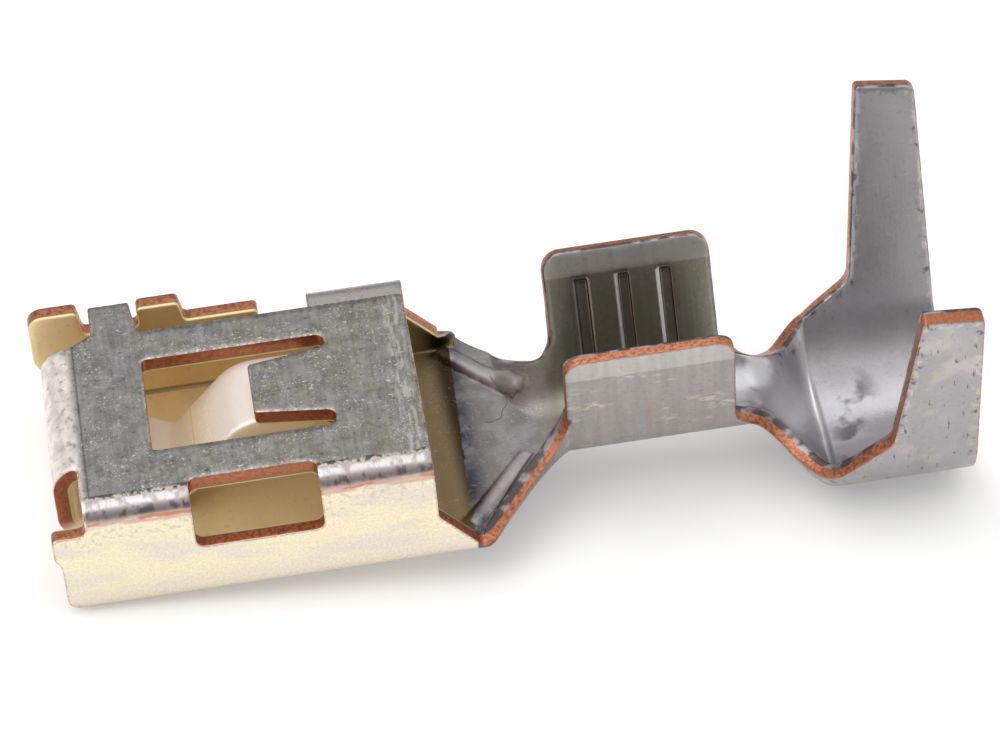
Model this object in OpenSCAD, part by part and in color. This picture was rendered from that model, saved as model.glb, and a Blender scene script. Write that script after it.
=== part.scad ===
// Female blade terminal, stamped and folded from one strip of plated sheet.
// The blade enters the box at -X and the wire is crimped at +X.
// Lengths along X start at the bend line at the front of the top plate,
// heights start at the underside of the box, and Y = 0 is the middle.

/* [Sheet] */
// Thickness of the strip
sheet_t = 0.4; // [0.3:0.02:0.5]
// Outer radius of the box bends
bend_r = 0.46; // [0.44:0.02:0.7]
// Air between layers that lie on each other
layer_gap = 0.05; // [0.02:0.01:0.1]

/* [Blade box] */
// Width of the mating blade
blade_w = 6.3; // [5.8:0.1:7.2]
// Side play of the blade in the box, on each side
blade_play = 0.1; // [0.05:0.01:0.2]
// Height of the box over its top plate
box_h = 3.08; // [2.9:0.02:3.5]
// Length of the top plate, from front bend to rear edge
plate_len = 7.85; // [7.4:0.05:9]
// Floor length behind the top plate, up to the first neck
floor_tail = 1.05; // [0.9:0.05:1.5]
// Reach of the side walls ahead of the plate
wall_reach = 0.88; // [0.75:0.01:1.2]
// Reach of the floor ahead of the plate
floor_reach = 0.3; // [0.1:0.05:0.6]
// Step back of the lower part of each wall's front edge
wall_step = 0.14; // [0.05:0.01:0.25]
// Height at which the wall's front edge steps back
wall_step_h = 1.63; // [1.3:0.05:1.8]
// Height of the near wall's front, under the relief slot
near_notch_h = 2.38; // [2.1:0.02:2.4]

/* [Top plate] */
// Gap between the plate's free edge and the far wall
plate_edge_gap = 0.9; // [0.6:0.05:1.3]
// Start of the plate's locating tab
tab_x = 0.56; // [0.5:0.02:0.8]
// Width of the plate's locating tab
tab_w = 0.96; // [0.7:0.02:1.1]
// How far the tab reaches into the far wall
tab_bite = 0.2; // [0.1:0.02:0.36]
// Side play of the tab in its notch
tab_play = 0.16; // [0.08:0.01:0.22]
// Reach of the near bend ahead of the plate
plate_lip = 0.09; // [0.04:0.01:0.2]

/* [Tongue window] */
// Front edge of the window in the top plate
window_x = 1.65; // [1.3:0.05:2]
// Length of the window, front edge to slot ends
window_len = 4.22; // [3.6:0.02:4.8]
// Far edge of the window, from the middle
window_far = 1.31; // [1.1:0.01:1.6]
// Near edge of the window, from the middle
window_near = 1.86; // [1.6:0.01:2.1]
// Length of the tongue
tongue_len = 1.82; // [1.2:0.02:2.2]
// Width of the tongue at its tip
tongue_tip_w = 1.68; // [1.3:0.02:1.9]
// Width of the tongue at its root
tongue_root_w = 2.24; // [2:0.02:2.4]
// Offset of the tongue towards the near side
tongue_offset = 0.24; // [0.1:0.02:0.3]

/* [Near window] */
// Front edge of the window in the near wall
side_window_x = 2.34; // [2:0.02:2.8]
// Length of the window in the near wall
side_window_len = 2.92; // [2.4:0.02:3.4]
// Sill height of the window in the near wall
side_window_sill = 1.57; // [1.3:0.01:1.75]
// How far the window runs over the top bend
side_window_over = 0.66; // [0.5:0.02:0.8]

/* [Far wall] */
// Height of the front ear
ear_h = 3.11; // [2.9:0.01:3.3]
// Height of the second tab
second_tab_h = 2.99; // [2.8:0.01:3.1]
// Height of the wall between and behind its tabs
far_top_h = 2.44; // [2.3:0.02:2.6]
// Width of the second tab
second_tab_w = 0.98; // [0.7:0.02:1.2]
// End of the wall's full-height stretch
far_low_end = 4.49; // [4.2:0.01:4.8]
// Height of the wall between that stretch and the flange
far_dip_h = 1.7; // [1.4:0.05:1.9]
// Front edge of the flange folded under the plate
flange_x = 5.65; // [5.4:0.05:6]
// Inward reach of the flange from the far wall
flange_reach = 4.6; // [3:0.1:5.4]
// How far the flange shows behind the plate
flange_tail = 0.05; // [0.02:0.01:0.15]

/* [Front curl and spring] */
// Half width of the curl over the blade entry
curl_half_w = 2.1; // [1.8:0.05:2.3]
// Reach of the curl ahead of the plate
curl_reach = 0.72; // [0.7:0.01:0.85]
// Outer radius of the curl's upper bend
curl_r = 0.68; // [0.6:0.02:0.7]
// Outer radius of the curl's lower bend
curl_low_r = 0.55; // [0.5:0.01:0.65]
// Height of the curl's underside over the box underside
curl_low_h = 1.15; // [1.05:0.01:1.25]
// Reach of the contact spring from the middle towards the far side
spring_far_w = 1.32; // [1.1:0.02:1.6]
// Reach of the contact spring from the middle towards the near side
spring_near_w = 0.9; // [0.8:0.02:1.6]
// Place of the spring's contact point
contact_x = 2.3; // [2:0.05:2.5]
// Height of the contact point over the floor's inner face
contact_lift = 0.18; // [0.1:0.02:0.4]
// Place where the spring meets the tongue
spring_crest_x = 3.87; // [3.6:0.01:4.1]
// Radius of the spring's bends
spring_r = 0.8; // [0.5:0.05:1]
// End of the spring under the tongue
spring_end_x = 5.4; // [4.5:0.05:5.5]

/* [First neck] */
// Length of the neck between box and conductor crimp
neck_len = 2.2; // [1.9:0.05:3]
// Height of the near wall's rear edge where its slope starts
near_slope_h = 1.38; // [1.2:0.02:1.7]
// Height of the far wall's rear edge where its slope starts
far_slope_h = 1.58; // [1.2:0.02:1.7]
// Height of the neck's edge behind the box
neck_edge_h = 0.43; // [0.35:0.01:0.5]
// Rise of the neck's edge towards the conductor crimp
neck_edge_rise = 0.4; // [0.2:0.05:0.6]
// Radius by which the neck's edge runs up into a wing
neck_fillet_r = 1.5; // [1:0.1:1.7]
// Width of the stiffening ribs
rib_w = 0.5; // [0.35:0.05:0.6]
// Height of the stiffening ribs over the floor
rib_h = 0.16; // [0.1:0.01:0.2]

/* [Conductor crimp] */
// Length of the conductor wings
conductor_len = 3.92; // [3.4:0.02:4.6]
// Height of the conductor wings over the box underside
conductor_wing_h = 4.03; // [3.5:0.01:4.4]
// Outer radius of the conductor barrel
conductor_r = 1.2; // [1.1:0.02:1.5]
// Lean of the conductor wings, degrees
conductor_lean = 16; // [10:0.5:20]
// Height of the barrel's bottom over the box underside
conductor_rise = 0.05; // [0:0.01:0.2]
// Corner radius of the conductor wings
conductor_corner_r = 0.45; // [0.2:0.05:0.6]
// Number of wire-gripping grooves
groove_count = 3; // [1:1:4]
// Spacing of the grooves
groove_pitch = 0.975; // [0.7:0.025:1.1]
// Shift of the grooves towards the box
groove_shift = 0.1; // [0:0.02:0.2]
// Width of a groove
groove_w = 0.3; // [0.2:0.02:0.4]
// Depth of a groove
groove_d = 0.09; // [0.04:0.01:0.14]
// Height of the coined band along the wing tops
coin_h = 0.58; // [0.3:0.02:0.8]
// Thinning at the wing top, on each face
coin_d = 0.07; // [0.02:0.01:0.12]

/* [Second neck] */
// Length of the neck between the crimps
mid_neck_len = 2.18; // [1.8:0.02:2.8]
// Height of the near conductor wing's rear foot
near_foot_h = 0.95; // [0.9:0.01:1.3]
// Height of the far conductor wing's rear foot
far_foot_h = 1.22; // [0.9:0.01:1.3]
// Place of the edge's lowest point behind the conductor wings
mid_dip_x = 1.68; // [1.4:0.02:1.9]
// Depth of the near edge's lowest point below the box underside
near_dip = 0.42; // [0.04:0.02:0.44]
// Depth of the far edge's lowest point below the box underside
far_dip = 0.06; // [0.04:0.02:0.44]
// Share of the second neck that passes before its floor drops
mid_delay = 0.13; // [0:0.01:0.2]
// Radius of the edge at its lowest point
mid_dip_r = 0.7; // [0.4:0.05:0.9]

/* [Insulation crimp] */
// Length of the insulation barrel
insulation_len = 3.15; // [2.8:0.05:4]
// Outer radius of the insulation barrel
insulation_r = 2.95; // [2.7:0.05:3.2]
// Drop of the barrel below the box underside
insulation_drop = 1.67; // [1.5:0.01:1.9]
// Lean of the insulation wings, degrees
insulation_lean = 16.2; // [12:0.2:20]
// Height of the insulation wings over the box underside
insulation_wing_h = 5.8; // [5:0.01:6.4]
// Width of a wing at its foot
wing_foot_w = 1.98; // [1.8:0.02:2.5]
// Height of a wing's foot over the box underside
wing_foot_h = 1.07; // [0.9:0.01:1.2]
// Radius between a wing's foot and its front edge
wing_foot_r = 0.5; // [0.3:0.05:0.8]
// Width of a wing at its top
wing_top_w = 1.4; // [1.1:0.02:1.8]
// Slope of the wing top towards the wire end
wing_top_fall = 0.18; // [0:0.02:0.4]

/* [Hidden] */

// Finest turn of a drawn arc, in degrees, and steps in a barrel's quarter and along a neck
arc_step = 15;
quarter_steps = 8;
neck_steps = 8;
// Distance under which two points are one
same_point = 0.001;
// Room by which cutting shapes run past what they cut
past = 1;
// Sheet above the wing tops before they are trimmed
trim = 0.2;
// Small radii of cut corners, outside and inside
nip_r = 0.12;
slot_r = 0.2;
// Half of the flat that the round barrels keep at the bottom
barrel_flat = 0.12;
// Radius of the ear's front corner
ear_corner_r = 0.35;
// Powers by which the first neck narrows early and the second one drops late
neck_power = 1.4;
mid_power = 1.15;

// Box, across the blade
box_w = blade_w + 2 * blade_play + 2 * sheet_t;
half_w = box_w / 2;
plate_under = box_h - sheet_t;
floor_in = sheet_t;
plate_far = half_w - sheet_t - plate_edge_gap;
bend_top = box_h - bend_r;
tab_end_x = tab_x + tab_w;
tab_far = half_w - sheet_t + tab_bite;

// Stations along the strip
neck_x = plate_len + floor_tail;
conductor_x = neck_x + neck_len;
conductor_end = conductor_x + conductor_len;
insulation_x = conductor_end + mid_neck_len;
tail_x = insulation_x + insulation_len;

// Flange under the plate
flange_top = plate_under - layer_gap;
flange_bend = flange_top - bend_r;
flange_end = plate_len + flange_tail;

// Pose at rest: the box's front edge and the insulation barrel touch the table
rest_pitch = atan(insulation_drop / (insulation_x + floor_reach));
rest_lift = floor_reach * sin(rest_pitch);
front_x = (ear_corner_r - wall_reach) * cos(rest_pitch)
    - (ear_h - ear_corner_r) * sin(rest_pitch) - ear_corner_r;
rear_x = tail_x * cos(rest_pitch) + insulation_drop * sin(rest_pitch);
middle_x = (front_x + rear_x) / 2;

// Plane curves

function unit(v) = v / norm(v);
function flat(p) = [p[0], p[1]];
function mix(a, b, k) = a + (b - a) * k;

// Arc that rounds the corner at b between a and c
function corner(a, b, c, r) = r == 0 ? [b] :
    let (u = unit(a - b))
    let (v = unit(c - b))
    let (half = acos(u * v) / 2)
    let (centre = b + unit(u + v) * r / sin(half))
    let (p = b + u * r / tan(half) - centre)
    let (q = b + v * r / tan(half) - centre)
    let (start = atan2(p[1], p[0]))
    let (turn = atan2(p[0] * q[1] - p[1] * q[0], p * q))
    let (steps = max(2, ceil(abs(turn) / arc_step)))
    [for (i = [0:steps]) centre + r * [cos(start + turn * i / steps), sin(start + turn * i / steps)]];

// Closed outline whose points are [x, y, corner radius]
function rounded(points) =
    let (n = len(points))
    [for (i = [0:n - 1])
        each corner(flat(points[(i + n - 1) % n]), flat(points[i]), flat(points[(i + 1) % n]), points[i][2])];

// Open path with rounded corners, its ends kept and no point twice
function rounded_path(points) =
    let (n = len(points))
    let (path = concat(
        [flat(points[0])],
        [for (i = [1:n - 2]) each corner(flat(points[i - 1]), flat(points[i]), flat(points[i + 1]), points[i][2])],
        [flat(points[n - 1])]))
    [for (i = [0:len(path) - 1]) if (i == 0 || norm(path[i] - path[max(i - 1, 0)]) > same_point) path[i]];

// Left normal of a step, and the mitred one where two steps meet
function left(a, b) = [a[1] - b[1], b[0] - a[0]] / norm(b - a);
function mitre(path, i) =
    let (before = left(path[max(i - 1, 0)], path[max(i, 1)]))
    let (after = left(path[min(i, len(path) - 2)], path[min(i + 1, len(path) - 1)]))
    (before + after) / (1 + before * after);

// Outline of sheet that follows a path, with its thickness on the left
function sheet_along(path) =
    concat(path, [for (i = [len(path) - 1:-1:0]) path[i] + sheet_t * mitre(path, i)]);

// Extrusions of drawings made in the XZ, YZ and XY planes

module across(from, to) {
    translate([0, to, 0]) rotate([90, 0, 0]) linear_extrude(to - from) children();
}

module along(from, to) {
    translate([from, 0, 0]) rotate([90, 0, 90]) linear_extrude(to - from) children();
}

module through(from, to) {
    translate([0, 0, from]) linear_extrude(to - from) children();
}

// Channel: floor, bends and walls from the blade entry to the wire end.
// A station is [x, half floor, bend radius, lean, bottom, top, coining, groove depth],
// then how much thicker the sheet is across Y and Z where it slants along X.

function box_station(x) = [x, half_w - bend_r, bend_r, 0, 0, ear_h + trim, 0, 0, 1, 1];
function conductor_station(x, groove = 0) =
    [x, barrel_flat, conductor_r, conductor_lean, conductor_rise,
     conductor_wing_h + trim, coin_d * (coin_h + trim) / coin_h, groove, 1, 1];
function insulation_station(x) =
    [x, barrel_flat, insulation_r, insulation_lean, -insulation_drop, insulation_wing_h + trim, 0, 0, 1, 1];

// Runs from 0 to 1, each with its rate and with the run of the bend radius:
// one that starts at once, and a soft one that starts late
function early_run(k) = [1 - pow(1 - k, neck_power), neck_power * pow(1 - k, neck_power - 1), k * sqrt(k)];
function late_run(k) =
    let (share = max(k - mid_delay, 0) / (1 - mid_delay))
    let (late = pow(share, mid_power))
    let (rate = mid_power * pow(share, mid_power - 1) / (1 - mid_delay))
    let (run = late * late * (3 - 2 * late))
    [run, 6 * late * (1 - late) * rate, run];

// Stretch of the sheet where it rises over a length, none at a neck's ends
function slant(k, rise, length) = k == 0 || k == 1 ? 1 : norm([rise, length]) / length;

function between(a, b, k, run) =
    let (length = b[0] - a[0])
    let (side = b[1] + b[2] - a[1] - a[2])
    let (radius = mix(a[2], b[2], run[2]))
    concat(
        [mix(a[0], b[0], k), a[1] + a[2] + side * run[0] - radius, radius],
        [for (j = [3:7]) mix(a[j], b[j], run[0])],
        [slant(k, side * run[1], length), slant(k, (b[4] - a[4]) * run[1], length)]);

function neck_station(i) =
    let (k = i / neck_steps)
    between(box_station(neck_x), conductor_station(conductor_x), k, early_run(k));

function mid_station(i) =
    let (k = i / neck_steps)
    between(conductor_station(conductor_end), insulation_station(insulation_x), k, late_run(k));

groove_first = conductor_x + (conductor_len - (groove_count - 1) * groove_pitch) / 2 - groove_shift;
groove_stations = [for (i = [0:groove_count - 1])
    for (s = [[-1, 0], [-0.5, groove_d], [0.5, groove_d], [1, 0]])
        conductor_station(groove_first + i * groove_pitch + s[0] * groove_w / 2, s[1])];

stations = concat(
    [box_station(-wall_reach - past)],
    [for (i = [0:neck_steps]) neck_station(i)],
    groove_stations,
    [for (i = [0:neck_steps]) mid_station(i)],
    [insulation_station(tail_x + past)]);

// Place of a wall's face at a height, for a barrel face of radius r
function wall_y(s, r, z) = s[1] + r / cos(s[3]) + (z - s[4] - s[2]) * tan(s[3]);

// Far half of a station's section, from wall top to floor.
// depth is the face's place in the sheet, thin its coining at the wall top.
function half_section(s, depth, thin, groove) =
    let (across_r = s[2] - depth * s[8] + groove)
    let (floor_r = s[2] - depth * s[9] + groove)
    let (coin_z = s[5] - trim - coin_h)
    let (groove_z = coin_z - groove_w / 2)
    concat(
        [[wall_y(s, across_r - groove - thin, s[5]), s[5]]],
        [[wall_y(s, across_r - groove, coin_z), coin_z]],
        [[wall_y(s, across_r, groove_z), groove_z]],
        [for (i = [0:quarter_steps])
            let (turn = mix(s[3], 90, i / quarter_steps))
            [s[1] + across_r * cos(turn), s[4] + s[2] - floor_r * sin(turn)]]);

function mirrored(half) = [for (i = [len(half) - 1:-1:0]) [-half[i][0], half[i][1]]];
function backwards(half) = [for (i = [len(half) - 1:-1:0]) half[i]];

// Closed section of a station: the outer face, then back along the inner one
function section(s) =
    let (outer = half_section(s, 0, s[6], 0))
    let (inner = half_section(s, sheet_t, -s[6], s[7]))
    concat(outer, mirrored(outer), backwards(mirrored(inner)), backwards(inner));

function split_quad(a, b, c, d) = [[a, c, b], [a, d, c]];

module channel_blank() {
    rings = [for (s = stations) [for (p = section(s)) [s[0], p[0], p[1]]]];
    count = len(rings[0]);
    last = len(rings) - 1;
    points = [for (ring = rings) each ring];
    sides = [for (k = [0:last - 1]) for (i = [0:count - 1])
        let (j = (i + 1) % count)
        let (a = k * count)
        let (b = a + count)
        each split_quad(a + i, b + i, b + j, a + j)];
    front = [for (i = [0:count / 2 - 2]) each split_quad(i, i + 1, count - 2 - i, count - 1 - i)];
    rear = [for (face = front) [for (i = [2:-1:0]) face[i] + last * count]];
    polyhedron(points, concat(front, sides, rear));
}

// Side outlines that trim the channel: the front of a wall, and all behind the box

low = -insulation_drop - past;
lower_front = -wall_reach + wall_step;
wall_front = [
    [-floor_reach, low, 0],
    [-floor_reach, sheet_t / 4, 0],
    [lower_front, sheet_t, nip_r],
    [lower_front, wall_step_h - wall_step, slot_r],
    [-wall_reach, wall_step_h + wall_step, slot_r]];

function crimp_edge(foot_h, dip) = [
    [conductor_x, neck_edge_h + neck_edge_rise, neck_fillet_r],
    [conductor_x, conductor_wing_h, conductor_corner_r],
    [conductor_end, conductor_wing_h, conductor_corner_r],
    [conductor_end, foot_h, conductor_corner_r],
    [conductor_end + mid_dip_x, -dip, mid_dip_r],
    [tail_x - wing_foot_w, wing_foot_h, wing_foot_r],
    [tail_x - wing_top_w, insulation_wing_h, nip_r],
    [tail_x, insulation_wing_h - wing_top_fall, slot_r],
    [tail_x, low, 0]];

near_outline = concat(wall_front, [
    [-wall_reach, near_notch_h, nip_r],
    [-plate_lip, near_notch_h, slot_r],
    [-plate_lip, bend_top, 0],
    [plate_len, bend_top, 0],
    [plate_len, near_slope_h, slot_r],
    [neck_x - nip_r, neck_edge_h, nip_r]], crimp_edge(near_foot_h, near_dip));

notch_start = tab_x - tab_play;
notch_end = tab_end_x + tab_play;
second_tab_end = notch_end + second_tab_w;
far_outline = concat(wall_front, [
    [-wall_reach, ear_h, ear_corner_r],
    [notch_start - nip_r, ear_h, nip_r],
    [notch_start, far_top_h, nip_r],
    [notch_end, far_top_h, nip_r],
    [notch_end, second_tab_h, nip_r],
    [second_tab_end, second_tab_h, nip_r],
    [second_tab_end + nip_r, far_top_h, nip_r],
    [far_low_end, far_top_h, nip_r],
    [far_low_end, far_dip_h, slot_r],
    [flange_x, far_dip_h, slot_r / 2],
    [flange_x, flange_bend, 0],
    [flange_end, flange_bend, 0],
    [flange_end, far_slope_h, slot_r],
    [neck_x + nip_r / 2, neck_edge_h, nip_r]], crimp_edge(far_foot_h, far_dip));

module channel() {
    reach = box_w + insulation_wing_h;
    intersection() {
        channel_blank();
        union() {
            across(-reach, 0) polygon(rounded(near_outline));
            across(0, reach) polygon(rounded(far_outline));
        }
    }
}

// Top bend and plate, folded over from the near wall

plate_outline = [
    [-plate_lip, -half_w - past, 0],
    [-plate_lip, -curl_half_w, 0],
    [0, -curl_half_w, 0],
    [0, curl_half_w, 0],
    [tab_x, plate_far + nip_r, nip_r],
    [tab_x, tab_far, nip_r / 2],
    [tab_end_x, tab_far, nip_r / 2],
    [tab_end_x + nip_r, plate_far, slot_r],
    [plate_len, plate_far, nip_r],
    [plate_len, -half_w - past, 0]];

module top_plate() {
    fold = [[tab_far + past, box_h, 0], [-half_w, box_h, bend_r], [-half_w, bend_top, 0]];
    intersection() {
        along(-plate_lip - past, plate_len + past) polygon(sheet_along(rounded_path(fold)));
        through(0, box_h + past) polygon(rounded(plate_outline));
    }
}

// U-shaped slot that frees the tongue, and the window over the near bend

window_end = window_x + window_len;
tongue_tip = window_end - tongue_len;
slot_far = tongue_root_w / 2 - tongue_offset;
slot_near = -tongue_root_w / 2 - tongue_offset;
tongue_outline = [
    [window_x, window_far, nip_r],
    [window_end, window_far, slot_r],
    [window_end, slot_far, slot_r],
    [tongue_tip, tongue_tip_w / 2 - tongue_offset, nip_r],
    [tongue_tip, -tongue_tip_w / 2 - tongue_offset, nip_r],
    [window_end, slot_near, slot_r],
    [window_end, -window_near, slot_r],
    [window_x, -window_near, nip_r]];

module tongue_slot() {
    through(plate_under - past / 4, box_h + past) polygon(rounded(tongue_outline));
}

module side_window() {
    front = side_window_x;
    rear = side_window_x + side_window_len;
    inner = -half_w + side_window_over;
    outer = -half_w - past;
    intersection() {
        across(outer, inner) polygon(rounded([
            [front, side_window_sill, slot_r], [front, box_h + past, 0],
            [rear, box_h + past, 0], [rear, side_window_sill, slot_r]]));
        through(0, box_h + past) polygon(rounded([
            [front, outer, 0], [front, inner, slot_r], [rear, inner, slot_r], [rear, outer, 0]]));
    }
}

// Curl over the blade entry, turned back inside as the contact spring

spring_under = plate_under - layer_gap - sheet_t;
curl_path = [
    [0, box_h, 0],
    [-curl_reach, box_h, curl_r],
    [-curl_reach, curl_low_h, curl_low_r],
    [contact_x, floor_in + contact_lift, spring_r],
    [spring_crest_x, spring_under, spring_r],
    [spring_end_x, spring_under, 0]];

spring_outline = [
    [-curl_reach - past, -curl_half_w, 0],
    [curl_low_r, -curl_half_w, slot_r],
    [contact_x, -spring_near_w, slot_r],
    [spring_end_x + past, -spring_near_w, 0],
    [spring_end_x + past, spring_far_w, 0],
    [contact_x, spring_far_w, slot_r],
    [curl_low_r, curl_half_w, slot_r],
    [-curl_reach - past, curl_half_w, 0]];

module curl_and_spring() {
    intersection() {
        across(-curl_half_w - past, curl_half_w + past) polygon(sheet_along(rounded_path(curl_path)));
        through(0, box_h + past) polygon(rounded(spring_outline));
    }
}

// Flange of the far wall, folded in under the plate

module flange() {
    inner = half_w - flange_reach;
    fold = [[half_w, flange_bend, 0], [half_w, flange_top, bend_r], [inner, flange_top, 0]];
    intersection() {
        along(flange_x, flange_end) polygon(sheet_along(rounded_path(fold)));
        through(0, box_h) polygon(rounded([
            [flange_x, half_w + past, 0], [flange_x, inner, slot_r],
            [plate_len - flange_tail, inner, slot_r],
            [flange_end, half_w - bend_r, 0], [flange_end, half_w + past, 0]]));
    }
}

// Stiffening ribs pressed up along the first neck's bends

rib_from = [neck_x - 2 * nip_r, half_w - bend_r];
rib_to = [conductor_x - rib_w * 2, conductor_r + barrel_flat];
rib_r = (rib_w * rib_w / 4 + rib_h * rib_h) / (2 * rib_h);

// Half-round bead of the rib's height standing on a level
module rib_bead(side, level) {
    step = rib_to - rib_from;
    half_turn = asin(rib_w / 2 / rib_r);
    turns = [for (i = [0:6]) mix(-half_turn, half_turn, i / 6)];
    arc = [for (a = turns) [rib_r * sin(a), level + rib_h - rib_r + rib_r * cos(a)]];
    root = [[rib_w / 2, level - sheet_t / 2], [-rib_w / 2, level - sheet_t / 2]];
    translate([rib_from[0], side * rib_from[1], 0])
        rotate([0, 0, side * atan2(step[1], step[0])])
            along(0, norm(step)) polygon(concat(arc, root));
}

module ribs(level) {
    for (side = [-1, 1]) rib_bead(side, level);
}

// The whole strip, turned to the pose in which it rests

module at_rest() {
    translate([-middle_x, 0, rest_lift]) rotate([0, -rest_pitch, 0]) children();
}

module terminal() {
    color("silver") at_rest() difference() {
        union() {
            channel();
            top_plate();
            curl_and_spring();
            flange();
            ribs(floor_in);
        }
        tongue_slot();
        side_window();
        ribs(0);
    }
}

terminal();
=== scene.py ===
"""Folded female blade terminal: a flat blank is cut, folded, pressed and finished as in the photo."""

import logging
import math
from dataclasses import dataclass, field
from enum import Enum
from functools import partial
from typing import Callable, Sequence

import bpy
import numpy as np
from mathutils import Matrix, Vector
from mathutils.geometry import delaunay_2d_cdt
from mathutils.kdtree import KDTree


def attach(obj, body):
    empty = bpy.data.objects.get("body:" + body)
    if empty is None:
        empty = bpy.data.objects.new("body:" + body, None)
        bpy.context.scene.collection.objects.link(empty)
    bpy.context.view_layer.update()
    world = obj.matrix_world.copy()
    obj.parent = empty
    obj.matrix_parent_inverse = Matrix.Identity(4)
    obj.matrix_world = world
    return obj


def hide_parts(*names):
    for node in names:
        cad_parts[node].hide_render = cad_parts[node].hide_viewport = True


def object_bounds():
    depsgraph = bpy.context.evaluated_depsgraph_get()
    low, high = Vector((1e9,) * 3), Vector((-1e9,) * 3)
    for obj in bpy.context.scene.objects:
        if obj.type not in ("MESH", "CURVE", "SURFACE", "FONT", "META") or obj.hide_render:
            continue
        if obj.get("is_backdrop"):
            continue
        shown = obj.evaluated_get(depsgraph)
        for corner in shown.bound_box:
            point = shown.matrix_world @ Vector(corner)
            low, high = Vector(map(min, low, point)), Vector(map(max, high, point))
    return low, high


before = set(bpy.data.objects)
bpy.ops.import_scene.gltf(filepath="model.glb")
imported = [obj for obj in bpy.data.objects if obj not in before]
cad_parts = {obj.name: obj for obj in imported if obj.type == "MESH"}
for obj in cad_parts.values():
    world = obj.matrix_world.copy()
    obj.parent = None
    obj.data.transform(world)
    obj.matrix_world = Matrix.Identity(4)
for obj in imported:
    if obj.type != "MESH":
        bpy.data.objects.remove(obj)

LOG = logging.getLogger("terminal")
MM = 0.001
Corner = tuple[float, float, float]
Run = tuple[float, float, float, float]


class Side(Enum):
    """Side of the strip, as the sign of the blank's width coordinate."""

    NEAR = -1
    FAR = 1


@dataclass(frozen=True)
class Section:
    """Channel section at one place: half floor, outer bend radius, wall lean and bottom height."""

    floor: float
    radius: float
    lean: float
    bottom: float


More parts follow.
